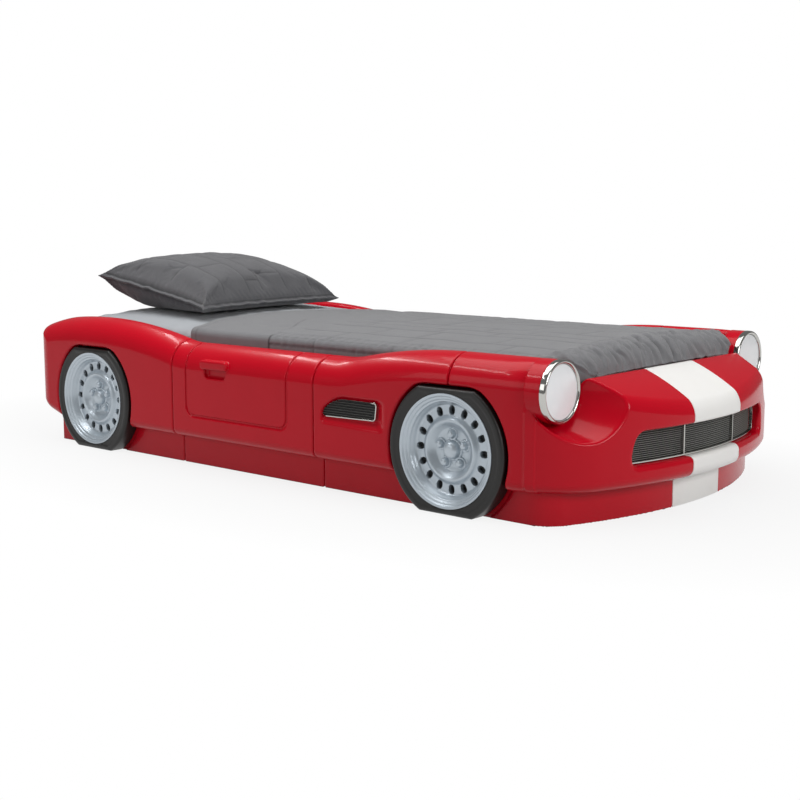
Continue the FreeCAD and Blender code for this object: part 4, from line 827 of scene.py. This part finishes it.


# %% [markdown]
# ## Grille and fender vents
# Behind the slot lies one ribbed insert that follows the nose's bow, with a thin plated frame round
# it and two upright dividers. The tops of the ribs are lighter, a painted highlight, which an attribute
# tells the material. Each fender vent has a ribbed plate, its slat tops with the same painted highlight,
# and a frame that is bright below and in front.


# %% Grille
def grille_end(z):
    """Half width of the insert at a height."""
    r = grille_turn(z)
    over = np.maximum(np.abs(z - GRILLE_Z) - GRILLE_HALF_Z + r, 0)
    return GRILLE_HALF_Y - r + np.sqrt(np.maximum(r ** 2 - over ** 2, 0))


def on_nose_arc(y, inset):
    """X of a surface this far behind the nose's bow."""
    return np.sqrt((NOSE_ARC_RADIUS - inset) ** 2 - y ** 2) + NOSE_ARC_X


RIBS, RIB_LOW, RIB_HIGH = 15, 149, 232
z = np.linspace(RIB_LOW, RIB_HIGH, RIBS * 10 + 1)[:, None]
rib = np.abs(np.cos(pi * RIBS * (z - RIB_LOW) / (RIB_HIGH - RIB_LOW))) ** 6
y = np.linspace(-1, 1, 161)[None, :] * grille_end(z)
points = np.stack([on_nose_arc(y, 39 - 5 * rib), y, z + 0 * y], -1)
insert = make_piece("ribbed_grille_insert", points.reshape(-1, 3), grid_faces(*points.shape[:2])[:, ::-1],
                    RIBBED_PLASTIC_WITH_PAINTED_HIGHLIGHT, replaces=["grille_bars"], slot="black_insert")
# painted highlight: the tops of the ribs are marked lighter
mark(insert, "rib", [rib ** 2 * (1 + 0 * y)])


def frame_distance(x, y, z):
    """Frame of the grille with its dividers: thin above, thicker below, on the nose's arc."""
    outline = slot_2d(y, z - GRILLE_Z, GRILLE_HALF_Y + 1, GRILLE_HALF_Z + 1, grille_turn(z))
    thick = 1.1 + 1.6 * np.clip((200 - z) / 30, 0, 1)
    band = np.abs(outline + thick) - thick
    posts = np.maximum(np.abs(np.abs(y) - 138) - 1.6, outline)
    deep = np.abs(np.hypot(x - NOSE_ARC_X, y) - NOSE_ARC_RADIUS + 29)
    return cut_round(np.minimum(band, posts + 0.2), deep - 5, 1.2)


panel("plated_grille_frame", frame_distance, steps((1066, 1136, 1.6)), steps((-353, 353, 2.2)),
      steps((144, 237, 1.3)), ["grille_trim"], CHROME, "bright_trim")


# %% Vents
def vent_outline(x, z):
    """Distance to the vent's outline: level top and bottom, upright front, rear end cut on a slant."""
    body = cut_round(z - 269, x - 434 + (262 - z) * 0.12, 8)
    body = cut_round(body, VENT_LOW_Z + 0.02 * (x - 232) - z, 7)
    body = cut_round(body, (z - 236 - (x - 231) * 0.64) * 0.842, 16)
    return cut_round(body, 231 - x, 6)


def slat_wave(z):
    """1 on the top of each slat and 0 in the furrow between two."""
    return np.abs(np.cos(pi * (z - VENT_LOW_Z) / SLAT_PITCH))


def insert_distance(x, y, z):
    """Plate with seven rounded slats."""
    slats = 587.5 + 3.5 * slat_wave(z) ** 3
    return np.maximum(vent_outline(x, z), np.maximum(np.abs(y) - slats, 580 - np.abs(y)))


def vent_frame_distance(x, y, z):
    """Frame round the plate, proud below and in front, low on top and behind."""
    outline = vent_outline(x, z)
    bright = np.maximum(np.clip((243 - z) / 16, 0, 1), np.clip((x - 405) / 16, 0, 1))
    bright = bright * np.clip((x - 236) / 10, 0, 1)
    band = np.abs(outline - 0.9) - 0.7 - 1.2 * bright
    return cut_round(band, np.maximum(np.abs(y) - 587.6 - 5 * bright, 580 - np.abs(y)), 1.0)


for side, sign in (("right", -1), ("left", 1)):
    across = np.sort(sign * steps((578, 596, 1.2)))
    plate = panel("slatted_vent_plate_" + side, insert_distance, steps((228, 438, 2.5)), across,
                  steps((216, 272, 0.8)), ["vent_insert_" + side], RIBBED_PLASTIC_WITH_PAINTED_HIGHLIGHT, "black_insert")
    height = np.array([v.co.z for v in plate.data.vertices]) / MM
    # painted highlight: a thin lighter line along the top of each slat
    mark(plate, "rib", [slat_wave(height) ** 24 * 0.22])
    panel("plated_vent_frame_" + side, vent_frame_distance, steps((226, 441, 1.3)), across,
          steps((213, 275, 1.2)), ["vent_trim_" + side], CHROME, "bright_trim")

# %% [markdown]
# ## Bedding
# Mattress, fitted sheet and quilt share one cross-section: sides that go down into the gap beside
# the mattress, rolled edges and a crowned top. Length along the cloth is kept as a coordinate, so
# that folds and stitching follow the cloth and not the room.


# %% Cloth helpers
def through(x, stations, values):
    """Smooth line through stations that never swings past them: cubic pieces with damped slopes."""
    stations, values = np.asarray(stations, float), np.asarray(values, float)
    step = np.diff(stations)
    rate = np.diff(values) / step
    slope = np.zeros(len(values))
    same = rate[1:] * rate[:-1] > 0
    both = np.where(same, rate[1:] * rate[:-1], 1)
    slope[1:-1] = np.where(same, 2 * both / np.where(same, rate[1:] + rate[:-1], 1), 0)
    slope[0], slope[-1] = rate[0], rate[-1]
    i = np.clip(np.searchsorted(stations, x) - 1, 0, len(step) - 1)
    t = np.clip((x - stations[i]) / step[i], 0, 1)
    h = step[i]
    return ((1 + 2 * t) * (1 - t) ** 2 * values[i] + t * (1 - t) ** 2 * h * slope[i]
            + t * t * (3 - 2 * t) * values[i + 1] + t * t * (t - 1) * h * slope[i + 1])


def bed_section(half, top, crown, edge, drop, count):
    """Across the bed, for arrays of one value per row: side, quarter roll, crowned top, roll, side.

    Returns y, z and the distance along the cloth from its middle, each rows x count.
    """
    half, top, crown, edge, drop = (np.asarray(v, float)[:, None] for v in (half, top, crown, edge, drop))
    flat = half - edge
    roll = edge * pi / 2
    share = np.linspace(-1, 1, count)[None, :]
    s = share * (flat + roll + drop)
    far = np.abs(s)
    turn = np.clip((far - flat) / edge, 0, pi / 2)
    y = np.where(far < flat, far, flat + edge * np.sin(turn))
    z = top - edge * (1 - np.cos(turn)) - np.maximum(far - flat - roll, 0)
    z = z + crown * np.maximum(1 - (far / flat) ** 2, 0)
    return np.sign(s) * y, z, s


def grid_normals(points):
    """Unit normals of a rows x columns grid of points, from its two directions."""
    along = np.gradient(points, axis=0)
    across = np.gradient(points, axis=1)
    normal = np.cross(along, across)
    return normal / np.maximum(np.linalg.norm(normal, axis=-1, keepdims=True), 1e-9)


def folds(u, v, length, seed, count=7, lean=0.35):
    """Irregular folds about `length` millimetres apart across u, wandering with v: a sum of slanted waves."""
    rng = np.random.default_rng(seed)
    total = np.zeros(np.broadcast(u, v).shape)
    for _ in range(count):
        wave = 2 * pi / (length * rng.uniform(0.6, 1.7))
        place = wave * (u + lean * rng.uniform(-1, 1) * v) + rng.uniform(0, 2 * pi)
        total += np.sin(place) * rng.uniform(0.5, 1)
    return total / count * 1.8


def puffs(u, v, length, seed, count=4):
    """Rounded puffs with sharp creases between them, -1 to 1: the sum of a few bent |sine| waves."""
    rng = np.random.default_rng(seed)
    total = np.zeros(np.broadcast(u, v).shape)
    for _ in range(count):
        wave = pi / (length * rng.uniform(0.7, 1.5))
        bend = 8 * np.sin(2 * pi * v / rng.uniform(90, 200) + rng.uniform(0, 2 * pi))
        total += 2 * np.abs(np.sin(wave * (u + bend) + rng.uniform(0, pi))) ** 0.8 - 1
    return total / count * 1.5


def nearest_line(u, v, lines):
    """Distance to the nearest of some straight stitching lines ((u0, v0), (u1, v1))."""
    best = np.full(np.broadcast(u, v).shape, 1e9)
    for (u0, v0), (u1, v1) in lines:
        du, dv = u1 - u0, v1 - v0
        t = np.clip(((u - u0) * du + (v - v0) * dv) / (du * du + dv * dv), 0, 1)
        best = np.minimum(best, np.hypot(u - u0 - t * du, v - v0 - t * dv))
    return best


def boxed_lines(u0, u1, v0, v1, seed, gap, block):
    """Quilting of uneven rectangles: long lines along u at uneven spacing, short ones across between them."""
    rng = np.random.default_rng(seed)
    rows = [v0]
    while rows[-1] < v1:
        rows.append(rows[-1] + gap * rng.uniform(0.6, 1.4))
    lines = [((u0, v), (u1, v)) for v in rows]
    for low, high in zip(rows, rows[1:]):
        u = u0 + block * rng.uniform(0.2, 1)
        while u < u1:
            lines.append(((u, low), (u, high)))
            u += block * rng.uniform(0.5, 1.5)
    return lines


def cloth_piece(name, points, faces, material, stitch_and_painted_shade=None, thickness=0.0, **where):
    """A cloth mesh with its attribute of stitching and painted shade; a thickness is added inwards by a
    Solidify modifier.
    """
    piece = make_piece(name, points, faces, material, body="bedding", **where)
    if stitch_and_painted_shade is not None:
        mark(piece, "stitch_and_painted_shade", [stitch_and_painted_shade])
    if thickness:
        wall = piece.modifiers.new("cloth", "SOLIDIFY")
        wall.thickness = thickness * MM
        wall.offset = -1
    print(name, "triangles", 2 * len(faces))
    return piece


# %% [markdown]
# ### Mattress and fitted sheet
# The mattress is a closed padded form, almost hidden. The sheet is drawn over it like a skin, fuller
# at the head end, with soft slanting creases where it is pulled under the pillow.

# %% Mattress
x = np.concatenate([[-1000] * 3, -1000 + 17 * (1 - np.cos(np.linspace(0.2, pi / 2, 6))),
                    np.linspace(-960, 880, 60), 905 - 17 * (1 - np.cos(np.linspace(pi / 2, 0.2, 6))),
                    [905] * 3])
ends = np.clip(np.minimum(x + 1000, 905 - x) / 34, 0, 1)
top = 406 + 20 * ease((-365 - x) / 600) - 17 * (1 - np.sqrt(1 - (1 - ends) ** 2))
half = 482.5 - 17 * (1 - np.sqrt(1 - (1 - ends) ** 2))
shrink = np.ones(len(x))
shrink[[0, -1]], shrink[[1, -2]], shrink[[2, -3]] = 0.001, 0.4, 0.8
y, z, s = bed_section(half, top, 22 + 0 * x, 34 + 0 * x, top - 34 - 228, 61)
y, z = y * shrink[:, None], 330 + (z - 330) * shrink[:, None]
points = np.stack([x[:, None] + 0 * y, y, z], -1).reshape(-1, 3)
points[:, 2] = np.maximum(points[:, 2], 228)
mattress = cloth_piece("ticking_mattress", points, grid_faces(len(x), 61, wrap_columns=True), TICKING,
                       replaces=["mattress"], slot="mattress_cloth")

# %% Fitted sheet
cap = np.linspace(0, 1, 8)
x = np.concatenate([np.full(8, -1002.2), -1002.2 + 34 * (1 - np.cos(np.linspace(0.12, pi / 2, 14))),
                    np.arange(-964, -300, 6.0), np.linspace(-300, 868, 60),
                    907.2 - 34 * (1 - np.cos(np.linspace(pi / 2, 0.12, 10)))])
ends = np.clip(np.minimum(x + 1002.2, 907.2 - x) / 34, 0, 1)
fall = 1 - np.sqrt(np.maximum(1 - (1 - ends) ** 2, 0))
half = 484.7 - 17 * fall
top = 408.3 + 20 * ease((-365 - x) / 600) - 30 * fall
top[:8] = 300 + (top[8] - 300) * cap
y, z, s = bed_section(half, top, 22 - 10 * fall, 34 - 16 * fall, np.maximum(top - 34 + 16 * fall - 300, 2), 221)
points = np.stack([x[:, None] + 0 * y, y, z], -1)
normals = grid_normals(points)
normals *= np.sign(normals[len(x) // 2, 110, 2])
head = ease((-380 - x) / 60)[:, None]
crease = folds(s + 0.5 * x[:, None], x[:, None], 120, 3) * 2.2 + folds(s - 0.8 * x[:, None], s, 46, 5) * 0.8
side = ease((np.abs(s) - 440) / 60)
crease = crease * head * (1 - 0.6 * side)
crease = np.where(side > 0.9, np.minimum(crease, 0), crease)
points = points + normals * crease[..., None]
sheet_piece = cloth_piece("drawn_sheet", points.reshape(-1, 3), grid_faces(*s.shape), SHEET_COTTON,
                          replaces=["fitted_sheet"], slot="sheet_cloth", thickness=1.5)

# %% [markdown]
# ### Quilt
# The quilt covers the foot two thirds. Its head end is turned back smooth, and along the edge of that
# fold a dark line of painted shade swings to the pillow. From there on the sides are gathered into short
# upright folds, and behind the hood the foot falls in deeper ones. Stitching runs in uneven boxes.

# %% Quilt
x = np.concatenate([-395 + 5 * (1 - np.cos(np.linspace(0, pi / 2, 4))), np.arange(-385, 700, 6.2),
                    np.arange(700, 930, 3.6), np.arange(930, 984, 1.8), [984.0]])
stations = [-395, 700, 790, 850, 880, 905, 925, 945, 962, 975, 984]
half = through(x, stations, [491.2, 491.2, 491.2, 491, 487, 474, 441, 428, 416, 396, 372])
top = through(x, stations, [418.6, 418.6, 418.6, 418.6, 419, 419, 416, 410, 398, 380, 364.5])
top = top + 4 * ease((-300 - x) / 120)
crown = through(x, stations, [20, 20, 20, 20, 19.5, 18.5, 17, 14, 10, 6, 3.0])
edge = through(x, stations, [21, 21, 21, 24, 30, 34, 34, 30, 24, 12, 4.0])
floor_line = through(x, [-395, 880, 905, 926, 984], [296.6, 300, 312, 322, 361.5])
y, z, s = bed_section(half, top, crown, edge, np.maximum(top - edge - floor_line, 0.5), 301)
points = np.stack([x[:, None] + 0 * y, y, z], -1)
normals = grid_normals(points)
normals *= np.sign(normals[len(x) // 2, 150, 2])
X = x[:, None] + 0 * s
seam_x = -88 - 150 * ease((y + 491) / 380) - 40 * ease((y - 100) / 500) + 5 * folds(y, 0 * y, 160, 24, 5)
main = ease((X - seam_x) / 5)
foot = ease((X - 870) / 45)
side = ease((np.abs(s) - 430) / 45)
lines = boxed_lines(-60, 905, -560, 560, 11, 118, 260)
near = nearest_line(X, s, lines)
channel = np.exp(-(near / 4.5) ** 2) * ease((X - seam_x - 15) / 20)
puff = ease(near / 32) * main
push = 1.5 * puff - 2.4 * channel * (1 - 0.6 * side)
push += (folds(X + 0.3 * s, s, 170, 21) * 1.6 + folds(s, X, 210, 22) * 1.2) * main * (1 - side)
push += 2.6 * main * (1 - 0.5 * side)
gather = folds(X, s, 30, 23, 9, 0.12) + 0.6 * puffs(X + 6 * folds(s, X, 60, 25), s, 26, 26, 4)
bunched = np.where(np.abs(s) > 450, -3.0 + 2.4 * gather, 1.6 * gather * ease((np.abs(s) - 380) / 60))
push += bunched * side * main * (1 - foot)
hem = np.exp(-((z - 392) / 3.2) ** 2) * side * main * (1 - foot)
push -= 2.2 * hem
across = s + 9 * folds(X, s, 45, 32, 5) + 0.12 * X
drape = folds(across, X, 110, 31, 6, 0.10)
deep = puffs(across, X, 62, 33, 4) * 0.7 + puffs(across + 0.4 * X, X, 30, 34, 3) * 0.3
push += foot * (drape * 4.0 + deep * 13.0 - 2.0) * ease((986 - X) / 14)
push = np.where(X < 900, np.maximum(push, -3.5), push)
limit = np.where(np.abs(s) > (half - 8)[:, None], 0.0, 12.0)
push = np.minimum(push, limit + 0 * push)
points = points + normals * push[..., None]
points[..., 1] = np.clip(points[..., 1], -491.3, 491.3)
corner = 50 + 80 * ease((y + 490) / 230) - 60 * ease((y + 100) / 400)
points[..., 0] -= corner * ease((-180 - X) / 215)
ramp = points[..., 0] - 990 + 371 + 2.0
points[..., 2] = np.where(points[..., 0] > 925.5, np.maximum(points[..., 2], ramp), points[..., 2])
stitch_and_painted_shade = np.clip(np.exp(-(near / 2.6) ** 2) * ease((X - seam_x - 15) / 20) * 0.42, 0, 1)
# painted shade: a dark line along the edge of the turned-back fold
stitch_and_painted_shade = np.maximum(stitch_and_painted_shade, np.exp(-((X - seam_x - 1) / 3.2) ** 2) * 0.95)
stitch_and_painted_shade = np.maximum(stitch_and_painted_shade, hem * 0.55)
stitch_and_painted_shade = np.maximum(stitch_and_painted_shade, np.exp(-((X + 372) / 2.0) ** 2) * 0.3)
quilt_piece = cloth_piece("laid_quilt", points.reshape(-1, 3), grid_faces(*s.shape), QUILT_COTTON,
                          stitch_and_painted_shade=stitch_and_painted_shade, replaces=["quilt"], slot="quilt_cloth", thickness=5.0)

# %% [markdown]
# ### Pillow
# A pillow is two sheets of cloth sewn round their edge and stuffed: fullest in the middle, its sides
# drawn in between the corners, with a flat narrow flange outside the seam. It is worked out flat as
# two layers over one grid. Left alone, a Cloth simulation under pressure swells it to a balloon, so it
# only gives the way each point goes, and a cap sets how far. Then the pillow is tipped and laid down.


# %% Pillow
PILLOW_X, PILLOW_Y, PILLOW_Z = -825.0, -15.0, 515.0
PILLOW_REST = 450.8         # height of the bed's top under the pillow
SEAM_U, SEAM_V = 0.955, 0.965   # where the seam runs, as a share of half the width and length


def pillow_layer(u, v, sign):
    """One layer over u, v in -1..1: drawn-in outline, height falling to the seam in both directions."""
    width, length = 279.0, 378.0
    px = width * u * (1 - 0.05 * (1 - v * v))
    py = length * v * (1 - 0.05 * (1 - u * u))
    rim_u, rim_v = np.minimum(np.abs(u) / SEAM_U, 1), np.minimum(np.abs(v) / SEAM_V, 1)
    height = 82 * (1 - rim_u ** 2.3) ** 0.62 * (1 - rim_v ** 2.6) ** 0.55
    return np.stack([px, py, sign * (height + 1.6)], -1)


def pillow_mesh(count_u, count_v):
    """Upper and lower layer, closer-meshed at the rim, where one row of faces joins them."""
    def closer(count):
        return 0.35 * np.sin(np.linspace(-pi / 2, pi / 2, count)) + 0.65 * np.linspace(-1, 1, count)

    u, v = np.meshgrid(closer(count_u), closer(count_v), indexing="ij")
    upper, lower = pillow_layer(u, v, 1), pillow_layer(u, v, -1)
    number = np.arange(count_u * count_v).reshape(count_u, count_v)
    ring = np.concatenate([number[:-1, 0], number[-1, :-1], number[:0:-1, -1], number[0, :0:-1]])
    faces = [list(f) for f in grid_faces(count_u, count_v)]
    faces += [list(f[::-1] + count_u * count_v) for f in grid_faces(count_u, count_v)]
    after = np.roll(ring, -1)
    faces += np.stack([ring, ring + count_u * count_v, after + count_u * count_v, after], -1).tolist()
    return upper, lower, faces, u, v


def inflate(points, faces, pressure, cap):
    """Cloth simulation of a closed cover: pressure inside, no gravity, 20 frames.

    Each point then goes at most `cap` mm the way the simulation moved it, so the cap sets the fullness.
    """
    mesh = bpy.data.meshes.new("pillow_cover_trial")
    mesh.from_pydata((points * MM).tolist(), [], [list(map(int, face)) for face in faces])
    trial = bpy.data.objects.new("pillow_cover_trial", mesh)
    bpy.context.scene.collection.objects.link(trial)
    cloth = trial.modifiers.new("cover", "CLOTH")
    cloth.settings.use_pressure = True
    cloth.settings.uniform_pressure_force = pressure
    cloth.settings.effector_weights.gravity = 0
    cloth.settings.quality = 6
    cloth.settings.bending_stiffness = 0.3
    cloth.collision_settings.use_collision = False
    for number in range(1, 21):
        bpy.context.scene.frame_set(number)
    swollen = trial.evaluated_get(bpy.context.evaluated_depsgraph_get()).to_mesh()
    after = np.empty(len(points) * 3)
    swollen.vertices.foreach_get("co", after)
    bpy.data.objects.remove(trial)
    bpy.context.scene.frame_set(1)
    move = after.reshape(-1, 3) / MM - points
    size = np.maximum(np.linalg.norm(move, axis=1), 1e-6)
    print("cover moved, mm: mean", round(float(size.mean()), 1), "most", round(float(size.max()), 1))
    return points + move * (np.minimum(size, cap) / size)[:, None]


def finer(grid, count):
    """Smooth curve through the rows of a grid, read at `count` even places: cubic through four neighbours."""
    t = np.linspace(0, len(grid) - 1, count)
    i = np.minimum(t.astype(int), len(grid) - 2)
    f = (t - i).reshape(-1, *[1] * (grid.ndim - 1))
    a, b, c, d = (grid[np.clip(i + k, 0, len(grid) - 1)] for k in (-1, 0, 1, 2))
    return b + f * (c - a + f * (2 * a - 5 * b + 4 * c - d + f * (3 * (b - c) + d - a))) / 2


def finer_layer(points, coarse, fine):
    """One layer of the cover carried from the coarse grid to the fine one, in both directions."""
    grid = finer(points.reshape(*coarse, 3), fine[0])
    return finer(grid.swapaxes(0, 1), fine[1]).swapaxes(0, 1)


COARSE, FINE = (57, 77), (169, 229)
PRESSURE, MOVE_CAP = 4.0, 26.0
upper, lower, faces, _, _ = pillow_mesh(*COARSE)
cover = np.concatenate([upper.reshape(-1, 3), lower.reshape(-1, 3)])
cover = inflate(cover, faces, PRESSURE, MOVE_CAP)
half = len(cover) // 2
_, _, faces, u, v = pillow_mesh(*FINE)
upper, lower = finer_layer(cover[:half], COARSE, FINE), finer_layer(cover[half:], COARSE, FINE)
flat_u, flat_v = 264.5 * u, 361.5 * v
lines = boxed_lines(-262, 262, -360, 360, 41, 104, 190)
near = nearest_line(flat_u, flat_v, lines)
inner = ease((0.93 - np.maximum(np.abs(u), np.abs(v))) / 0.08)
push = (1.2 * ease(near / 22) - 1.5 * np.exp(-(near / 3.2) ** 2)) * inner
far_u, far_v = 252 * (1 - np.abs(u) / SEAM_U), 350 * (1 - np.abs(v) / SEAM_V)
edge_far = np.minimum(far_u, far_v)
band = ease(edge_far / 8) * ease((46 - edge_far) / 38)
along_edge = np.where(far_u < far_v, flat_v, flat_u)
push += puffs(along_edge + 0.5 * edge_far, edge_far, 22, 43, 5) * 0.9 * band
push += (folds(flat_u + 0.5 * flat_v, flat_v, 150, 44) * 1.8 + folds(flat_v, flat_u, 90, 45) * 0.9) * inner
rim_far = np.maximum(np.abs(u) / SEAM_U, np.abs(v) / SEAM_V) - 1
seam_line = np.exp(-(rim_far / 0.008) ** 2)
wave = folds(along_edge, along_edge, 60, 46, 6, 0.0) * 2.8
wave *= ease((np.maximum(np.abs(u), np.abs(v)) - 0.93) / 0.05)
layers = []
for layer, sign, strength in ((upper, 1, 1.0), (lower, -1, 0.8)):
    normals = grid_normals(layer)
    normals *= sign * np.sign(normals[80, 110, 2])
    layer = layer + normals * (push * strength)[..., None]
    layer[..., 2] += wave
    layers.append(layer.reshape(-1, 3))
points = np.concatenate(layers)
tilt, turn = radians(11), radians(5.5)
x0, y0, z0 = points.T
x1, z1 = x0 * cos(tilt) + z0 * sin(tilt), -x0 * sin(tilt) + z0 * cos(tilt)
points = np.stack([x1 * cos(turn) - y0 * sin(turn), x1 * sin(turn) + y0 * cos(turn), z1], -1)
points += (PILLOW_X, PILLOW_Y, PILLOW_Z)
deep = PILLOW_REST - points[:, 2]
points[:, 2] = np.where(deep > -14, PILLOW_REST + np.where(deep > 14, 0, (14 - deep) ** 2 / 56), points[:, 2])
stitch_and_painted_shade = np.clip(np.exp(-(near / 2.4) ** 2) * inner * 0.42 + 0.8 * seam_line, 0, 1)
pillow_piece = cloth_piece("stuffed_pillow", points, faces, PILLOW_COTTON,
                           stitch_and_painted_shade=np.concatenate([stitch_and_painted_shade, stitch_and_painted_shade]), replaces=["pillow"], slot="pillow_cloth")

# %% [markdown]
# ## Finishes of the carried-over CAD pieces
# The grille's backing, the lamps' housings and boards, the deck and the fastenings have the right
# shape in the CAD model, so each only gets its material. Every other node has a piece of its own.

# %% Materials by node
FINISHES = {
    BLACK_PLASTIC: ("grille_back", "lamp_housings"),
    BOARD: ("lamp_boards",),
    PINE: ("ledge_right", "ledge_left", "slats", "centre_beam", "centre_legs"),
    STEEL: ("joining_plates", "corner_brackets", "plate_bolts"),
}
for material, nodes in FINISHES.items():
    for node in nodes:
        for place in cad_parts[node].material_slots:
            place.material = material

# %% [markdown]
# ## Floor, light and camera
# The photograph is a studio cut-out on white. A pale floor takes the shadow, big soft lamps give the
# long highlights along the rolled edges, and the world is white to the camera only.

# %% Floor and world
floor_mesh = bpy.data.meshes.new("floor")
floor_mesh.from_pydata([(-9, -9, 0), (9, -9, 0), (9, 9, 0), (-9, 9, 0)], [], [(0, 1, 2, 3)])
floor = bpy.data.objects.new("floor", floor_mesh)
bpy.context.scene.collection.objects.link(floor)
FLOOR, _shader = new_material("matt_white_studio_floor", Base_Color=linear("#B8B8B8"), Roughness=0.9)
# white to the camera and in reflections, a little less near the bed, where the shadow has to show
turn = add(FLOOR, "ShaderNodeMapping", {"Scale": (0.75, 1.35, 1)},
           (add(FLOOR, "ShaderNodeTexCoord").outputs["Object"],))
far = add(FLOOR, "ShaderNodeVectorMath", {"operation": "LENGTH"}, (turn.outputs["Vector"],))
settings = {"From Min": 0.8, "From Max": 1.6, "To Min": 0.84, "To Max": 1.0}
share = add(FLOOR, "ShaderNodeMapRange", settings, Value=far.outputs["Value"]).outputs["Result"]
rays = add(FLOOR, "ShaderNodeLightPath").outputs
seen = rays["Is Camera Ray"]
for kind in ("Is Glossy Ray", "Is Transmission Ray"):
    seen = add(FLOOR, "ShaderNodeMath", {"operation": "MAXIMUM"}, (seen, rays[kind])).outputs[0]
seen = add(FLOOR, "ShaderNodeMath", {"operation": "MULTIPLY"}, (seen, share)).outputs[0]
glow = add(FLOOR, "ShaderNodeEmission", {"Color": (1, 1, 1, 1), "Strength": 1.0})
blend = add(FLOOR, "ShaderNodeMixShader", None, (seen, _shader.outputs[0], glow.outputs[0]))
FLOOR.node_tree.links.new(blend.outputs[0], FLOOR.node_tree.nodes["Material Output"].inputs[0])
floor_mesh.materials.append(FLOOR)

world = bpy.data.worlds.new("studio")
bpy.context.scene.world = world
world.use_nodes = True
nodes = world.node_tree.nodes
back = nodes["Background"]
back.inputs["Color"].default_value = (1, 1, 1, 1)
back.inputs["Strength"].default_value = 0.22
white = add(world, "ShaderNodeBackground", {"Color": (1, 1, 1, 1), "Strength": 1.0})
seen = add(world, "ShaderNodeLightPath").outputs["Is Camera Ray"]
pick = add(world, "ShaderNodeMixShader", None, (seen, back.outputs[0], white.outputs[0]))
world.node_tree.links.new(pick.outputs[0], nodes["World Output"].inputs[0])


# %% Lamps
def soft_lamp(name, place, aim, size, power):
    """Area lamp of size (width, height) in metres at a place, turned to face its aim."""
    lamp = bpy.data.lights.new(name, "AREA")
    lamp.shape = "RECTANGLE"
    lamp.size, lamp.size_y = size
    lamp.energy = power
    thing = bpy.data.objects.new(name, lamp)
    bpy.context.scene.collection.objects.link(thing)
    x, y, z = (a - p for a, p in zip(aim, place))
    flat = sqrt(x * x + y * y)
    thing.location = place
    thing.rotation_euler = (atan2(flat, -z), 0, atan2(-x, y) if flat > 1e-6 else 0)
    print(name, "faces", [round(v, 2) for v in (x, y, z)])


soft_lamp("overhead_softbox", (0.2, -0.3, 3.0), (0.1, 0, 0.3), (3.4, 2.2), 66)
soft_lamp("overhead_strip", (-1.6, -0.9, 2.6), (-0.4, -0.2, 0.3), (3.6, 0.14), 26)
soft_lamp("side_softbox", (-0.8, -3.8, 1.5), (0, 0, 0.3), (3.0, 1.2), 20)
soft_lamp("front_softbox", (3.9, -0.5, 1.6), (1.0, 0, 0.2), (1.6, 1.2), 44)

# %% Camera
camera = bpy.data.cameras.new("camera")
camera.lens = 59.14
camera.sensor_width = 36
eye = bpy.data.objects.new("camera", camera)
eye.location = (2.785, -3.232, 0.790)
eye.rotation_euler = (radians(90 - 8.199), 0, radians(40.613))
bpy.context.scene.collection.objects.link(eye)
bpy.context.scene.camera = eye
bpy.context.scene.view_settings.view_transform = "Standard"
